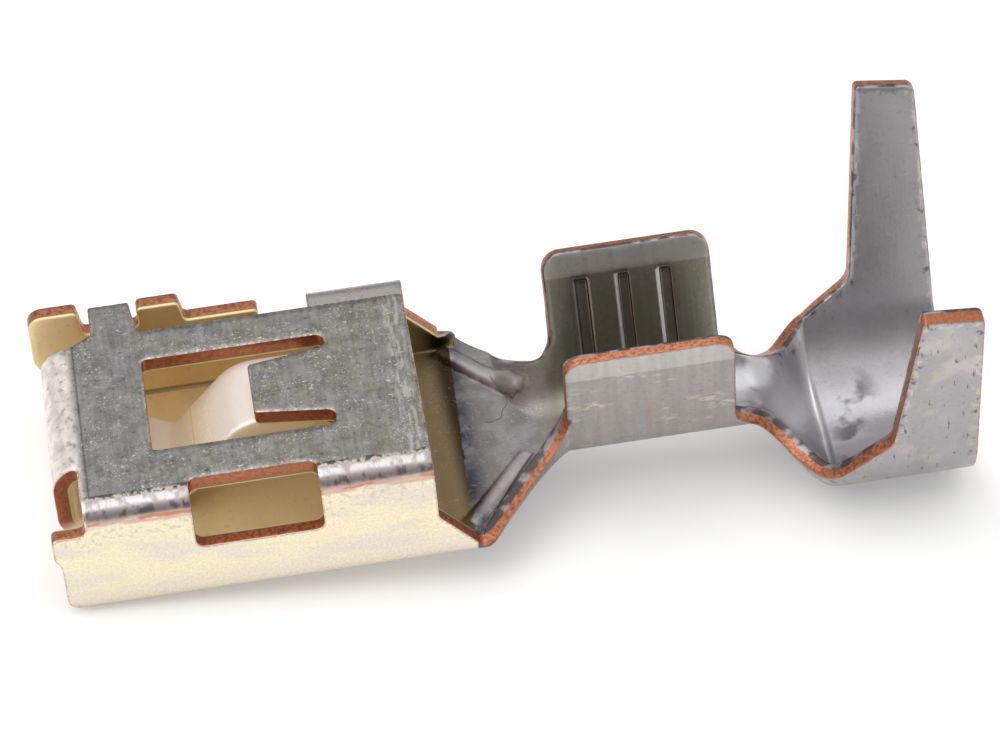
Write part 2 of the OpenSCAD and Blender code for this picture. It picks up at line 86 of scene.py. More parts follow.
@dataclass(frozen=True)
class Sizes:
    """Sizes of the strip in millimetres, measured from the plate's front bend and the box underside."""

    sheet: float = 0.4
    bend_r: float = 0.46
    half_w: float = 3.65
    box_h: float = 3.08
    plate_len: float = 7.85
    neck_x: float = 8.9
    wall_reach: float = 0.88
    floor_reach: float = 0.3
    lower_front: float = -0.74
    step_low: float = 1.49
    step_high: float = 1.77
    notch_h: float = 2.38
    plate_lip: float = 0.09
    plate_far: float = 2.35
    tab_x: float = 0.56
    tab_end: float = 1.52
    tab_far: float = 3.45
    window_x: float = 1.65
    window_end: float = 5.87
    window_far: float = 1.31
    window_near: float = 1.86
    tongue_tip: float = 4.05
    tongue_tip_far: float = 0.6
    tongue_tip_near: float = -1.08
    tongue_root_far: float = 0.88
    tongue_root_near: float = -1.36
    side_front: float = 2.34
    side_rear: float = 5.26
    side_sill: float = 1.57
    side_over: float = 0.66
    ear_h: float = 3.11
    ear_r: float = 0.35
    second_tab_h: float = 2.99
    far_top_h: float = 2.44
    notch_start: float = 0.4
    notch_end: float = 1.68
    second_tab_end: float = 2.66
    far_low_end: float = 4.49
    far_dip_h: float = 1.7
    flange_x: float = 5.65
    flange_end: float = 7.9
    flange_inner: float = -0.95
    flange_top: float = 2.63
    curl_half_w: float = 2.1
    spring_far_w: float = 1.32
    spring_near_w: float = 0.9
    conductor_x: float = 11.1
    conductor_end: float = 15.02
    conductor_top: float = 4.03
    insulation_x: float = 17.2
    insulation_drop: float = 1.67
    insulation_top: float = 5.8
    tail_x: float = 20.35
    near_slope_h: float = 1.38
    far_slope_h: float = 1.58
    rear_h: float = 1.7
    neck_h: float = 0.32
    near_neck_h: float = 0.83
    near_neck_r: float = 1.5
    far_lead: float = 0.28
    far_lead_h: float = 0.8
    far_wing_h: float = 2.6
    wing_r: float = 0.45
    near_root_h: float = 0.95
    far_root_h: float = 1.22
    mid_reach: float = 1.68
    near_mid_h: float = -0.42
    far_mid_h: float = -0.06
    mid_r: float = 0.7
    wing_foot: float = 1.98
    wing_foot_h: float = 1.07
    wing_foot_r: float = 0.5
    wing_top: float = 1.4
    wing_slant: float = 0.18
    tail_h: float = 1.0
    tail_half: float = 2.9
    coin_h: float = 0.58
    coin_depth: float = 0.14
    coin_over: float = 0.05
    front_low: float = 0.01
    front_high: float = 0.03
    narrow_x: float = 0.55
    narrow_end: float = 2.3
    flange_clear: float = 0.05
    neck_power: float = 1.4
    neck_delay: float = 1.75
    neck_closing: float = 3.7
    far_flare: float = math.radians(84)
    flare_run: float = 0.3
    flare_lead: float = 0.9
    far_ease: float = 8.0
    ease_start: float = 0.1
    ease_run: float = 0.5
    stand_start: float = 0.4
    far_lag: float = 0.5
    near_lag: float = 1.5
    mid_delay: float = 0.13
    mid_power: float = 1.15
    far_neck: tuple[Corner, ...] = (
        (8.945, 3.716, 0.15),
        (9.114, 3.566, 0.3),
        (9.41, 3.24, 0.8),
        (9.9, 2.68, 0.8),
        (10.25, 2.07, 0.5),
        (10.55, 1.79, 0.3),
        (10.84, 1.88, 0.3),
        (11.06, 2.3, 0.3),
    )
    nip: float = 0.12
    slot: float = 0.2
    box: Section = Section(3.19, 0.46, 0.0, 0.0)
    conductor: Section = Section(0.12, 1.2, math.radians(16), 0.05)
    insulation: Section = Section(0.12, 2.95, math.radians(16.2), -insulation_drop)

    @property
    def bend_mid(self) -> float:
        """Radius of the sheet's middle in a box bend."""
        return self.bend_r - self.sheet / 2

    @property
    def curl(self) -> list[Corner]:
        """Outer face of the curl and spring in the XZ plane, with corner radii."""
        return [
            (0.0, self.box_h, 0.0),
            (-0.72, self.box_h, 0.68),
            (-0.72, 1.15, 0.55),
            (2.3, 0.58, 0.8),
            (3.87, 2.23, 0.8),
            (5.4, 2.23, 0.0),
        ]

    @property
    def rest(self) -> Matrix:
        """Lays the strip on the table.

        Returns:
            Turn and shift from the strip's frame, in millimetres, to the pose, in metres.
        """
        pitch = math.atan(self.insulation_drop / (self.insulation_x + self.floor_reach))
        front = (self.ear_r - self.wall_reach) * math.cos(pitch)
        front -= (self.ear_h - self.ear_r) * math.sin(pitch) + self.ear_r
        rear = self.tail_x * math.cos(pitch) + self.insulation_drop * math.sin(pitch)
        shift = Vector((-(front + rear) / 2, 0.0, self.floor_reach * math.sin(pitch)))
        turn = Matrix.Rotation(-pitch, 4, "Y")
        return Matrix.Scale(MM, 4) @ Matrix.Translation(shift) @ turn


def soft(k: np.ndarray) -> np.ndarray:
    """Smooth run from 0 to 1 over 0 to 1."""
    k = np.clip(k, 0.0, 1.0)
    return k * k * (3.0 - 2.0 * k)


def rounded(points: Sequence[Corner], turn: float = 10.0) -> np.ndarray:
    """Rounds the corners of an open path.

    Args:
        points: corners as (x, y, radius); the two ends keep their place.
        turn: degrees between the points of an arc.

    Returns:
        The path as an (n, 2) array.
    """
    path = [np.array(points[0][:2])]
    for before, here, after in zip(points, points[1:], points[2:]):
        b = np.array(here[:2])
        u = np.array(before[:2]) - b
        v = np.array(after[:2]) - b
        u /= np.linalg.norm(u)
        v /= np.linalg.norm(v)
        half = math.acos(float(np.clip(u @ v, -1.0, 1.0))) / 2
        if here[2] == 0.0 or math.pi / 2 - half < 1e-3:
            path.append(b)
            continue
        middle = (u + v) / np.linalg.norm(u + v)
        centre = b + middle * here[2] / math.sin(half)
        p = b + u * here[2] / math.tan(half) - centre
        q = b + v * here[2] / math.tan(half) - centre
        whole = math.atan2(p[0] * q[1] - p[1] * q[0], float(p @ q))
        steps = max(2, math.ceil(abs(math.degrees(whole)) / turn))
        for i in range(steps + 1):
            c, s = math.cos(whole * i / steps), math.sin(whole * i / steps)
            path.append(centre + np.array([c * p[0] - s * p[1], s * p[0] + c * p[1]]))
    path.append(np.array(points[-1][:2]))
    return np.array(path)


def densified(path: np.ndarray, step: float) -> np.ndarray:
    """Adds points to a path so that no stretch is longer than a step, and drops repeated ones.

    Args:
        path: the path's points.
        step: the longest stretch.

    Returns:
        The closer path.
    """
    out = [path[0]]
    for a, b in zip(path, path[1:]):
        gap = float(np.linalg.norm(b - a))
        if gap < 1e-4:
            continue
        count = max(1, math.ceil(gap / step))
        out.extend(a + (b - a) * i / count for i in range(1, count + 1))
    return np.array(out)


class Fold:
    """Maps the flat blank, length x and developed width w, onto the folded strip's middle surface."""

    def __init__(self, size: Sizes) -> None:
        """Finds the curl's path and the widths at which the box's bends start.

        Args:
            size: sizes of the strip.
        """
        self.size = size
        path = rounded(size.curl, turn=2.0)
        step = np.gradient(path, axis=0)
        step /= np.linalg.norm(step, axis=1, keepdims=True)
        middle = path + size.sheet / 2 * np.column_stack([-step[:, 1], step[:, 0]])
        lengths = np.linalg.norm(np.diff(middle, axis=0), axis=1)
        self.curl = middle
        self.curl_run = np.concatenate([[0.0], np.cumsum(lengths)])
        self.wall_start = size.box.floor + size.bend_mid * math.pi / 2
        self.near_wall = size.box_h - 2 * size.bend_r
        self.far_wall = size.flange_top - 2 * size.bend_r
        self.plate_start = self.wall_start + self.near_wall + size.bend_mid * math.pi / 2
        self.flange_start = self.wall_start + self.far_wall + size.bend_mid * math.pi / 2
        self.fold_edge = size.half_w - size.bend_r

    def sections(self, x: np.ndarray, w: np.ndarray) -> tuple[np.ndarray, ...]:
        """Finds the channel's section at places of the blank.

        Args:
            x: lengths along the strip.
            w: widths on the blank, whose sign gives the side.

        Returns:
            Half floor, bend radius, lean and bottom.
        """
        s = self.size
        far = w > 0
        k = np.clip((x - s.neck_x) / (s.conductor_x - s.neck_x), 0.0, 1.0)
        first = 1.0 - (1.0 - k) ** s.neck_power
        closing = 1.0 - (1.0 - k**s.neck_delay) ** s.neck_closing
        standing = soft((k - s.stand_start) / (1.0 - s.stand_start))
        flare = soft((x - s.neck_x) / s.flare_run + s.flare_lead) * (1.0 - standing)
        ease = soft(k / s.ease_start) * (1.0 - soft((k - s.ease_start) / s.ease_run))
        share = (x - s.conductor_end) / (s.insulation_x - s.conductor_end)
        share = np.clip((share - s.mid_delay) / (1.0 - s.mid_delay), 0.0, 1.0)
        second = soft(share**s.mid_power)
        lag = np.where(far, k**s.far_lag, k**s.near_lag)
        runs = {
            "floor": np.where(far, closing, first),
            "radius": lag,
            "lean": np.where(far, standing, first),
            "bottom": first,
        }
        rows = {}
        for name, run in runs.items():
            a, b, c = (getattr(part, name) for part in (s.box, s.conductor, s.insulation))
            rows[name] = a + (b - a) * run + (c - b) * second
        rows["floor"] += np.where(far, 0.0, (s.conductor.radius - s.box.radius) * (first - lag))
        rows["lean"] += np.where(far, s.far_flare * flare, 0.0)
        rows["radius"] += np.where(far, s.far_ease * ease, 0.0)
        return tuple(rows.values())

    def middle(self, x: np.ndarray, w: np.ndarray) -> np.ndarray:
        """Folds places of the blank onto the middle surface.

        Args:
            x: lengths along the strip.
            w: widths on the blank, whose sign gives the side.

        Returns:
            Points in the strip's frame.
        """
        s = self.size
        run = np.abs(w)
        floor, radius, lean, bottom = self.sections(x, w)
        mid = radius - s.sheet / 2
        turn = np.clip((run - floor) / mid, 0.0, math.pi / 2 - lean)
        up = np.maximum(run - floor - mid * (math.pi / 2 - lean), 0.0)
        y = np.minimum(run, floor) + mid * np.sin(turn) + up * np.sin(lean)
        z = bottom + radius - mid * np.cos(turn) + up * np.cos(lean)
        boxed = x < s.neck_x
        near = boxed & (w < 0) & (up > self.near_wall)
        far = boxed & (w > 0) & (up > self.far_wall) & (x > (s.far_low_end + s.flange_x) / 2)
        for mask, wall, top in ((near, self.near_wall, s.box_h), (far, self.far_wall, s.flange_top)):
            over = up - wall
            bend = np.clip(over / s.bend_mid, 0.0, math.pi / 2)
            flat = np.maximum(over - s.bend_mid * math.pi / 2, 0.0)
            y = np.where(mask, self.fold_edge + s.bend_mid * np.cos(bend) - flat, y)
            z = np.where(mask, top - s.bend_r + s.bend_mid * np.sin(bend), z)
        curled = (w < -self.plate_start) & (x < 0)
        along = np.where(curled, np.interp(-x, self.curl_run, self.curl[:, 0]), x)
        z = np.where(curled, np.interp(-x, self.curl_run, self.curl[:, 1]), z)
        return np.column_stack([along, np.sign(w) * y, z])

    def inward(self, x: np.ndarray, w: np.ndarray, reach: float = 0.004) -> np.ndarray:
        """Finds the middle surface's unit normals, towards the inside of the folded strip.

        Args:
            x: lengths along the strip.
            w: widths on the blank, whose sign gives the side.
            reach: half the step over which the slope is taken.

        Returns:
            The normals.
        """
        dx = self.middle(x + reach, w) - self.middle(x - reach, w)
        dw = self.middle(x, w + reach) - self.middle(x, w - reach)
        normal = np.cross(dx, dw)
        return normal / np.maximum(np.linalg.norm(normal, axis=1, keepdims=True), 1e-12)

    def width_at(self, x: np.ndarray, z: np.ndarray, side: Side) -> np.ndarray:
        """Finds the blank width at which the channel's wall reaches a height.

        Args:
            x: lengths along the strip.
            z: heights.
            side: the side of the strip.

        Returns:
            The widths, with the side's sign.
        """
        floor, radius, lean, bottom = self.sections(x, np.full_like(x, side.value))
        mid = radius - self.size.sheet / 2
        start = bottom + radius - mid * np.sin(lean)
        lowered = z - self.size.sheet / 2 * np.sin(lean) * soft((z - start) / mid)
        wall = floor + mid * (math.pi / 2 - lean) + (lowered - start) / np.cos(lean)
        bend = floor + mid * np.arccos(np.clip((bottom + radius - z) / mid, -1.0, 1.0))
        return side.value * np.where(z > start, wall, bend)

    def plate(self, y: float) -> float:
        """Blank width of a place across the top plate."""
        return -(self.plate_start + y + self.fold_edge)

    def flange(self, y: float) -> float:
        """Blank width of a place across the flange."""
        return self.flange_start + self.fold_edge - y


@dataclass
class Blank:
    """Outline and holes of the stamped blank, in strip length and developed width."""

    size: Sizes
    fold: Fold
    step: float = 0.07

    def wall(self, corners: Sequence[Corner], side: Side) -> list[Corner]:
        """Turns corners given as length and height on a box wall into blank corners.

        Args:
            corners: length, height and radius of each.
            side: the side of the strip.

        Returns:
            The corners on the blank.
        """
        x = np.array([c[0] for c in corners])
        z = np.array([c[1] for c in corners])
        return [(c[0], float(w), c[2]) for c, w in zip(corners, self.fold.width_at(x, z, side))]

    def plate(self, corners: Sequence[Corner]) -> list[Corner]:
        """Turns corners given as length and place across the plate into blank corners."""
        return [(x, self.fold.plate(y), r) for x, y, r in corners]

    def wall_front(self) -> list[Corner]:
        """Front edge of a side wall, from the floor up, as length and height."""
        s = self.size
        return [
            (-s.floor_reach, s.sheet / 2 + s.front_low, 0.0),
            (s.lower_front, s.sheet + s.front_high, s.nip),
            (s.lower_front, s.step_low, s.slot),
            (-s.wall_reach, s.step_high, s.slot),
        ]

    def crimp_edge(self, side: Side) -> np.ndarray:
        """Draws the edge of the necks and crimps on one side, from the box to the tail.

        Args:
            side: the side of the strip.

        Returns:
            Its points on the blank.
        """
        s = self.size
        near = side is Side.NEAR
        start = s.plate_len if near else s.flange_end
        lead = [(start, s.rear_h, 0.0), (start, s.near_slope_h if near else s.far_slope_h, s.slot)]
        rear = [
            (s.conductor_x, s.conductor_top, s.wing_r),
            (s.conductor_end, s.conductor_top, s.wing_r),
            (s.conductor_end, s.near_root_h if near else s.far_root_h, s.wing_r),
            (s.conductor_end + s.mid_reach, s.near_mid_h if near else s.far_mid_h, s.mid_r),
            (s.tail_x - s.wing_foot, s.wing_foot_h, s.wing_foot_r),
            (s.tail_x - s.wing_top, s.insulation_top, s.nip),
            (s.tail_x, s.insulation_top - s.wing_slant, s.slot),
            (s.tail_x, s.tail_h, 0.0),
        ]
        if near:
            neck = [(s.neck_x - s.nip, s.neck_h, s.nip), (s.conductor_x, s.near_neck_h, s.near_neck_r)]
            return self.up_wall(lead + neck + rear, side)
        front = self.up_wall([*lead, (s.neck_x - s.far_lead, s.far_lead_h, 0.0)], side)
        back = self.up_wall([(s.conductor_x, s.far_wing_h, 0.0), *rear], side)
        neck = rounded([(*front[-2], 0.0), (*front[-1], s.nip), *s.far_neck, (*back[0], 0.0)])
        return np.vstack([front[:-1], densified(neck, self.step), back[1:]])

    def up_wall(self, corners: Sequence[Corner], side: Side) -> np.ndarray:
        """Rounded path through corners given as length and height on a wall, in blank coordinates."""
        path = densified(rounded(corners), self.step)
        return np.column_stack([path[:, 0], self.fold.width_at(path[:, 0], path[:, 1], side)])

    def near_front(self) -> np.ndarray:
        """Draws the near edge from the floor's front round the curl and spring to the plate's rear.

        Returns:
            Its points on the blank.
        """
        s = self.size
        end = float(self.fold.curl_run[-1])
        narrow = [self.curl_length(x) for x in (s.narrow_x, s.narrow_end)]
        corners = [(-s.floor_reach, -s.box.floor, 0.0)]
        notch = [(-s.wall_reach, s.notch_h, s.nip), (-s.plate_lip, s.notch_h, s.slot)]
        corners += self.wall(self.wall_front() + notch, Side.NEAR)
        corners += self.plate([
            (-s.plate_lip, -s.curl_half_w, s.nip),
            (-narrow[0], -s.curl_half_w, s.slot),
            (-narrow[1], -s.spring_near_w, s.slot),
            (-end, -s.spring_near_w, s.nip),
            (-end, s.spring_far_w, s.nip),
            (-narrow[1], s.spring_far_w, s.slot),
            (-narrow[0], s.curl_half_w, s.slot),
            (0.0, s.curl_half_w, s.slot),
            (s.tab_x, s.plate_far + s.nip, s.nip),
            (s.tab_x, s.tab_far, s.nip / 2),
            (s.tab_end, s.tab_far, s.nip / 2),
            (s.tab_end + s.nip, s.plate_far, s.slot),
            (s.plate_len, s.plate_far, s.nip),
        ])
        corners += self.wall([(s.plate_len, s.rear_h, 0.0)], Side.NEAR)
        return densified(rounded(corners), self.step)

    def far_front(self) -> np.ndarray:
        """Draws the far edge from the floor's front over ear, tabs and flange to the wall's rear.

        Returns:
            Its points on the blank.
        """
        s = self.size
        corners = [(-s.floor_reach, s.box.floor, 0.0)]
        corners += self.wall(self.wall_front() + [
            (-s.wall_reach, s.ear_h, s.ear_r),
            (s.notch_start - s.nip, s.ear_h, s.nip),
            (s.notch_start, s.far_top_h, s.nip),
            (s.notch_end, s.far_top_h, s.nip),
            (s.notch_end, s.second_tab_h, s.nip),
            (s.second_tab_end, s.second_tab_h, s.nip),
            (s.second_tab_end + s.nip, s.far_top_h, s.nip),
            (s.far_low_end, s.far_top_h, s.nip),
            (s.far_low_end, s.far_dip_h, s.slot),
            (s.flange_x, s.far_dip_h, s.slot / 2),
        ], Side.FAR)
        inner = self.fold.flange(s.flange_inner)
        corners += [
            (s.flange_x, inner, s.slot),
            (s.plate_len - s.flange_clear, inner, s.slot),
            (s.flange_end, self.fold.flange_start, 0.0),
        ]
        corners += self.wall([(s.flange_end, s.rear_h, 0.0)], Side.FAR)
        return densified(rounded(corners), self.step)

    def curl_length(self, x: float) -> float:
        """Length along the curl at which the returning spring reaches x."""
        low = int(np.argmin(self.fold.curl[:, 0]))
        return float(np.interp(x, self.fold.curl[low:, 0], self.fold.curl_run[low:]))

    def outline(self) -> np.ndarray:
        """Draws the closed outline of the blank.

        Returns:
            Its points, without the first one repeated.
        """
        s = self.size
        across = np.arange(-s.tail_half, s.tail_half + self.step / 2, self.step)
        tail = np.column_stack([np.full_like(across, s.tail_x), across])
        near = np.vstack([self.near_front(), self.crimp_edge(Side.NEAR)])
        far = np.vstack([self.far_front(), self.crimp_edge(Side.FAR)])
        ring = densified(np.vstack([near, tail, far[::-1], near[:1]]), self.step)
        return ring[:-1]

    def holes(self) -> list[np.ndarray]:
        """Draws the tongue's slot in the plate and the window over the near bend.

        Returns:
            The two rings.
        """
        s = self.size
        tongue = self.plate([
            (s.window_x, s.window_far, s.nip),
            (s.window_end, s.window_far, s.slot),
            (s.window_end, s.tongue_root_far, s.slot),
            (s.tongue_tip, s.tongue_tip_far, s.nip),
            (s.tongue_tip, s.tongue_tip_near, s.nip),
            (s.window_end, s.tongue_root_near, s.slot),
            (s.window_end, -s.window_near, s.slot),
            (s.window_x, -s.window_near, s.nip),
        ])
        sill = [(s.side_front, s.side_sill, s.slot), (s.side_rear, s.side_sill, s.slot)]
        head = self.plate([
            (s.side_rear, -s.half_w + s.side_over, s.slot),
            (s.side_front, -s.half_w + s.side_over, s.slot),
        ])
        return [self.ring(tongue), self.ring(self.wall(sill, Side.NEAR) + head)]

    def ring(self, corners: Sequence[Corner]) -> np.ndarray:
        """Draws a closed, rounded ring through corners.

        Args:
            corners: length, width and radius of each.

        Returns:
            Its points, evenly divided.
        """
        first, last = np.array(corners[0][:2]), np.array(corners[-1][:2])
        start = tuple((first + last) / 2) + (0.0,)
        return densified(rounded([start, *corners, start]), self.step)[:-1]


@dataclass(frozen=True)
class EdgeProfile:
    """Form of a sheared edge from the sheet's outer face to its inner one, as inset and depth."""

    inset: tuple[float, ...] = (0.02, 0.006, 0.0, 0.0, 0.0, 0.002, 0.008, 0.02, 0.045)
    depth: tuple[float, ...] = (0.0, 0.02, 0.08, 0.3, 0.52, 0.7, 0.85, 0.95, 1.0)


class SheetMesh:
    """Closed mesh of the folded sheet: two faces over the blank, joined by sheared edges."""

    def __init__(self, blank: Blank, edge: EdgeProfile, spacing: float, finer: Sequence[Run]) -> None:
        """Draws the rings of the sheet's edges and the lattice between them.

        Args:
            blank: the blank to cut.
            edge: form of its sheared edges.
            spacing: usual gap between the lattice's points.
            finer: stretches with a closer lattice: start, end, and gaps along and across the strip.
        """
        self.blank = blank
        self.fold = blank.fold
        self.edge = edge
        self.spacing = spacing
        self.finer = finer
        self.rings = [self.turned(blank.outline(), 1.0)]
        self.rings += [self.turned(hole, -1.0) for hole in blank.holes()]
        self.near = KDTree(sum(len(ring) for ring in self.rings))
        for i, (x, w) in enumerate(np.vstack(self.rings)):
            self.near.insert((x, w, 0.0), i)
        self.near.balance()
        self.inside = self.lattice()

    @staticmethod
    def turned(ring: np.ndarray, sense: float) -> np.ndarray:
        """Puts a ring in the order that has the sheet on its left.

        Args:
            ring: points of a closed outline.
            sense: 1 for an outline, -1 for a hole.

        Returns:
            The ring in that order.
        """
        after = np.roll(ring, -1, axis=0)
        area = float(np.sum(ring[:, 0] * after[:, 1] - ring[:, 1] * after[:, 0]))
        return ring if area * sense > 0 else ring[::-1].copy()

    @staticmethod
    def inset(ring: np.ndarray, reach: float) -> np.ndarray:
        """Moves a ring into the sheet.

        Args:
            ring: points of a closed outline.
            reach: how far.

        Returns:
            The moved ring.
        """
        step = np.roll(ring, -1, axis=0) - ring
        step /= np.linalg.norm(step, axis=1, keepdims=True)
        after = np.column_stack([-step[:, 1], step[:, 0]])
        before = np.roll(after, 1, axis=0)
        share = 1.0 + np.sum(before * after, axis=1, keepdims=True)
        return ring + reach * (before + after) / np.maximum(share, 0.6)

    def lattice(self) -> np.ndarray:
        """Spreads points over the sheet on a lattice, clear of its edges.

        Returns:
            The points on the blank.
        """
        low, high = self.rings[0].min(axis=0), self.rings[0].max(axis=0)
        points = []
        for x, step, shift in self.columns(low[0], high[0]):
            grid = np.arange(low[1], high[1], step)
            clear = max(self.edge.inset) + step / 2
            crossings = []
            for ring in self.rings:
                after = np.roll(ring, -1, axis=0)
                cut = (ring[:, 0] < x) != (after[:, 0] < x)
                share = (x - ring[cut, 0]) / (after[cut, 0] - ring[cut, 0])
                crossings.extend(ring[cut, 1] + share * (after[cut, 1] - ring[cut, 1]))
            crossings.sort()
            shifted = grid + shift
            for start, end in zip(crossings[::2], crossings[1::2]):
                row = shifted[(shifted > start + clear) & (shifted < end - clear)]
                points.extend((x, w) for w in row if self.distance(x, w) > clear)
        return np.array(points)

    def columns(self, start: float, end: float) -> list[tuple[float, float, float]]:
        """Places the lattice's columns along the strip.

        Args:
            start: where the strip starts.
            end: where it ends.

        Returns:
            Length, gap between points and shift of each column.
        """
        found = []
        x = start + self.spacing / 3
        usual = (self.spacing * 0.87, self.spacing)
        while x < end:
            closer = [(dx, dw) for low, high, dx, dw in self.finer if low < x < high]
            along, across = min(closer, default=usual)
            staggered = along > across / 3 and len(found) % 2
            found.append((x, across, across / 2 if staggered else 0.0))
            x += along
        return found

    def face(self, loops: Sequence[np.ndarray]) -> np.ndarray:
        """Covers the sheet with triangles.

        Args:
            loops: the rings of one face.

        Returns:
            Counter-clockwise triangles, as indices into the loops and the lattice in order.
        """
        points = np.vstack([*loops, self.inside])
        edges = []
        start = 0
        for loop in loops:
            count = len(loop)
            edges.extend((start + i, start + (i + 1) % count) for i in range(count))
            start += count
        flat = [Vector(p) for p in points.tolist()]
        _, _, faces, origins, _, _ = delaunay_2d_cdt(flat, edges, [], 1, 1e-7)
        found = np.array([origin[0] if origin else -1 for origin in origins])
        triangles = found[np.array(faces)]
        triangles = triangles[np.all(triangles >= 0, axis=1)]
        a, b, c = (points[triangles[:, i]] for i in range(3))
        area = (b[:, 0] - a[:, 0]) * (c[:, 1] - a[:, 1]) - (b[:, 1] - a[:, 1]) * (c[:, 0] - a[:, 0])
        middle = (a + b + c) / 3
        kept = np.abs(area) > 1e-9
        for hole in loops[1:]:
            kept &= ~self.within(middle, hole)
        return np.where(area[:, None] < 0, triangles[:, ::-1], triangles)[kept]

    @staticmethod
    def within(points: np.ndarray, ring: np.ndarray) -> np.ndarray:
        """Tests which points lie inside a ring.

        Args:
            points: places on the blank.
            ring: points of a closed outline.

        Returns:
            True for each point inside.
        """
        inside = np.zeros(len(points), dtype=bool)
        for a, b in zip(ring, np.roll(ring, -1, axis=0)):
            level = (a[1] > points[:, 1]) != (b[1] > points[:, 1])
            rise = b[1] - a[1] if b[1] != a[1] else 1.0
            inside ^= level & (points[:, 0] < (b[0] - a[0]) * (points[:, 1] - a[1]) / rise + a[0])
        return inside

    def build(self, name: str, place: Callable[[np.ndarray, np.ndarray], np.ndarray]) -> bpy.types.Mesh:
        """Makes the mesh.

        Args:
            name: name of the mesh.
            place: gives points in space for blank coordinates and depths.

        Returns:
            The mesh, with blank coordinates, depth, rim distance and inward normal kept as attributes.
        """
        rows = len(self.edge.inset)
        blocks = [self.inset(ring, d) for ring in self.rings for d in self.edge.inset]
        depth = [np.full(len(ring), h) for ring in self.rings for h in self.edge.depth]
        rim = [np.full(len(ring), d) for ring in self.rings for d in self.edge.inset]
        starts = np.concatenate([[0], np.cumsum([len(block) for block in blocks])])
        edge_count = int(starts[-1])
        quads = []
        for r, ring in enumerate(self.rings):
            here = np.arange(len(ring))
            after = np.roll(here, -1)
            for k in range(rows - 1):
                low, high = starts[r * rows + k], starts[r * rows + k + 1]
                quads.append(np.column_stack([low + here, low + after, high + after, high + here]))
        triangles = []
        inside = len(self.inside)
        distance = np.array([self.distance(x, w) for x, w in self.inside])
        for row, first, turn in ((0, edge_count, -1), (rows - 1, edge_count + inside, 1)):
            loops = [blocks[r * rows + row] for r in range(len(self.rings))]
            near = [starts[r * rows + row] + np.arange(len(ring)) for r, ring in enumerate(self.rings)]
            index = np.concatenate([*near, first + np.arange(inside)])
            triangles.append(index[self.face(loops)][:, ::turn])
            blocks.append(self.inside)
            depth.append(np.full(inside, self.edge.depth[row]))
            rim.append(distance)
        flat, depths = np.vstack(blocks), np.concatenate(depth)
        mesh = bpy.data.meshes.new(name)
        faces = np.vstack(quads).tolist() + np.vstack(triangles).tolist()
        mesh.from_pydata(place(flat, depths).tolist(), [], faces)
        normals = self.fold.inward(flat[:, 0], flat[:, 1])
        spread = np.column_stack([flat, np.zeros(len(flat))])
        for key, kind, values in (
            ("blank", "FLOAT_VECTOR", spread),
            ("inward", "FLOAT_VECTOR", normals),
            ("depth", "FLOAT", depths),
            ("rim", "FLOAT", np.concatenate(rim)),
        ):
            layer = mesh.attributes.new(key, kind, "POINT")
            layer.data.foreach_set("value" if kind == "FLOAT" else "vector", np.ravel(values))
        mesh.shade_smooth()
        mesh.update()
        return mesh

    def distance(self, x: float, w: float) -> float:
        """Distance of a place on the blank from the nearest point of a sheared edge."""
        return self.near.find((x, w, 0.0))[2]


class Term:
    """A node socket that takes part in arithmetic."""

    def __init__(self, graph: "Graph", socket: bpy.types.NodeSocket) -> None:
        """Keeps the socket and its graph."""
        self.graph = graph
        self.socket = socket

    def __add__(self, other: "Operand") -> "Term":
        """Sum."""
        return self.graph.math("ADD", self, other)

    def __sub__(self, other: "Operand") -> "Term":
        """Difference."""
        return self.graph.math("SUBTRACT", self, other)

    def __rsub__(self, other: "Operand") -> "Term":
        """What is left of another value."""
        return self.graph.math("SUBTRACT", other, self)

    def __mul__(self, other: "Operand") -> "Term":
        """Product."""
        return self.graph.math("MULTIPLY", self, other)

    def __truediv__(self, other: "Operand") -> "Term":
        """Quotient."""
        return self.graph.math("DIVIDE", self, other)

    def __pow__(self, other: "Operand") -> "Term":
        """Power."""
        return self.graph.math("POWER", self, other)

    def __neg__(self) -> "Term":
        """Opposite."""
        return self * -1.0

    def __abs__(self) -> "Term":
        """Size without the sign."""
        return self.graph.math("ABSOLUTE", self)

    def least(self, other: "Operand") -> "Term":
        """Smaller of two values."""
        return self.graph.math("MINIMUM", self, other)

    def most(self, other: "Operand") -> "Term":
        """Larger of two values."""
        return self.graph.math("MAXIMUM", self, other)

    def ramp(self, low: float, high: float, to: tuple[float, float] = (0.0, 1.0)) -> "Term":
        """Smooth run from low to high onto another range, held at its ends."""
        inputs = {"Value": self, "From Min": low, "From Max": high, "To Min": to[0], "To Max": to[1]}
        return self.graph.node("ShaderNodeMapRange", inputs, interpolation_type="SMOOTHSTEP")

    def band(self, low: float, high: float, blur: float) -> "Term":
        """1 between two limits, fading to 0 over a blur at each."""
        return self.ramp(low - blur, low + blur) * self.ramp(high - blur, high + blur, (1.0, 0.0))

    def noise(self, scale: float, detail: float = 2.0, along: float = 1.0, across: float = 1.0) -> "Term":
        """Random values around a half for places.

        Args:
            scale: how many to a millimetre.
            detail: steps of finer noise.
            along: how much closer they run along the strip.
            across: how much closer they run across it.

        Returns:
            The values.
        """
        closer = (scale * along, scale * across, scale)
        place = self.graph.node("ShaderNodeVectorMath", {0: self, 1: closer}, operation="MULTIPLY")
        return self.graph.node("ShaderNodeTexNoise", {"Vector": place, "Scale": 1.0, "Detail": detail})


Operand = Term | float
Colour = tuple[float, float, float]
Paint = Term | Colour


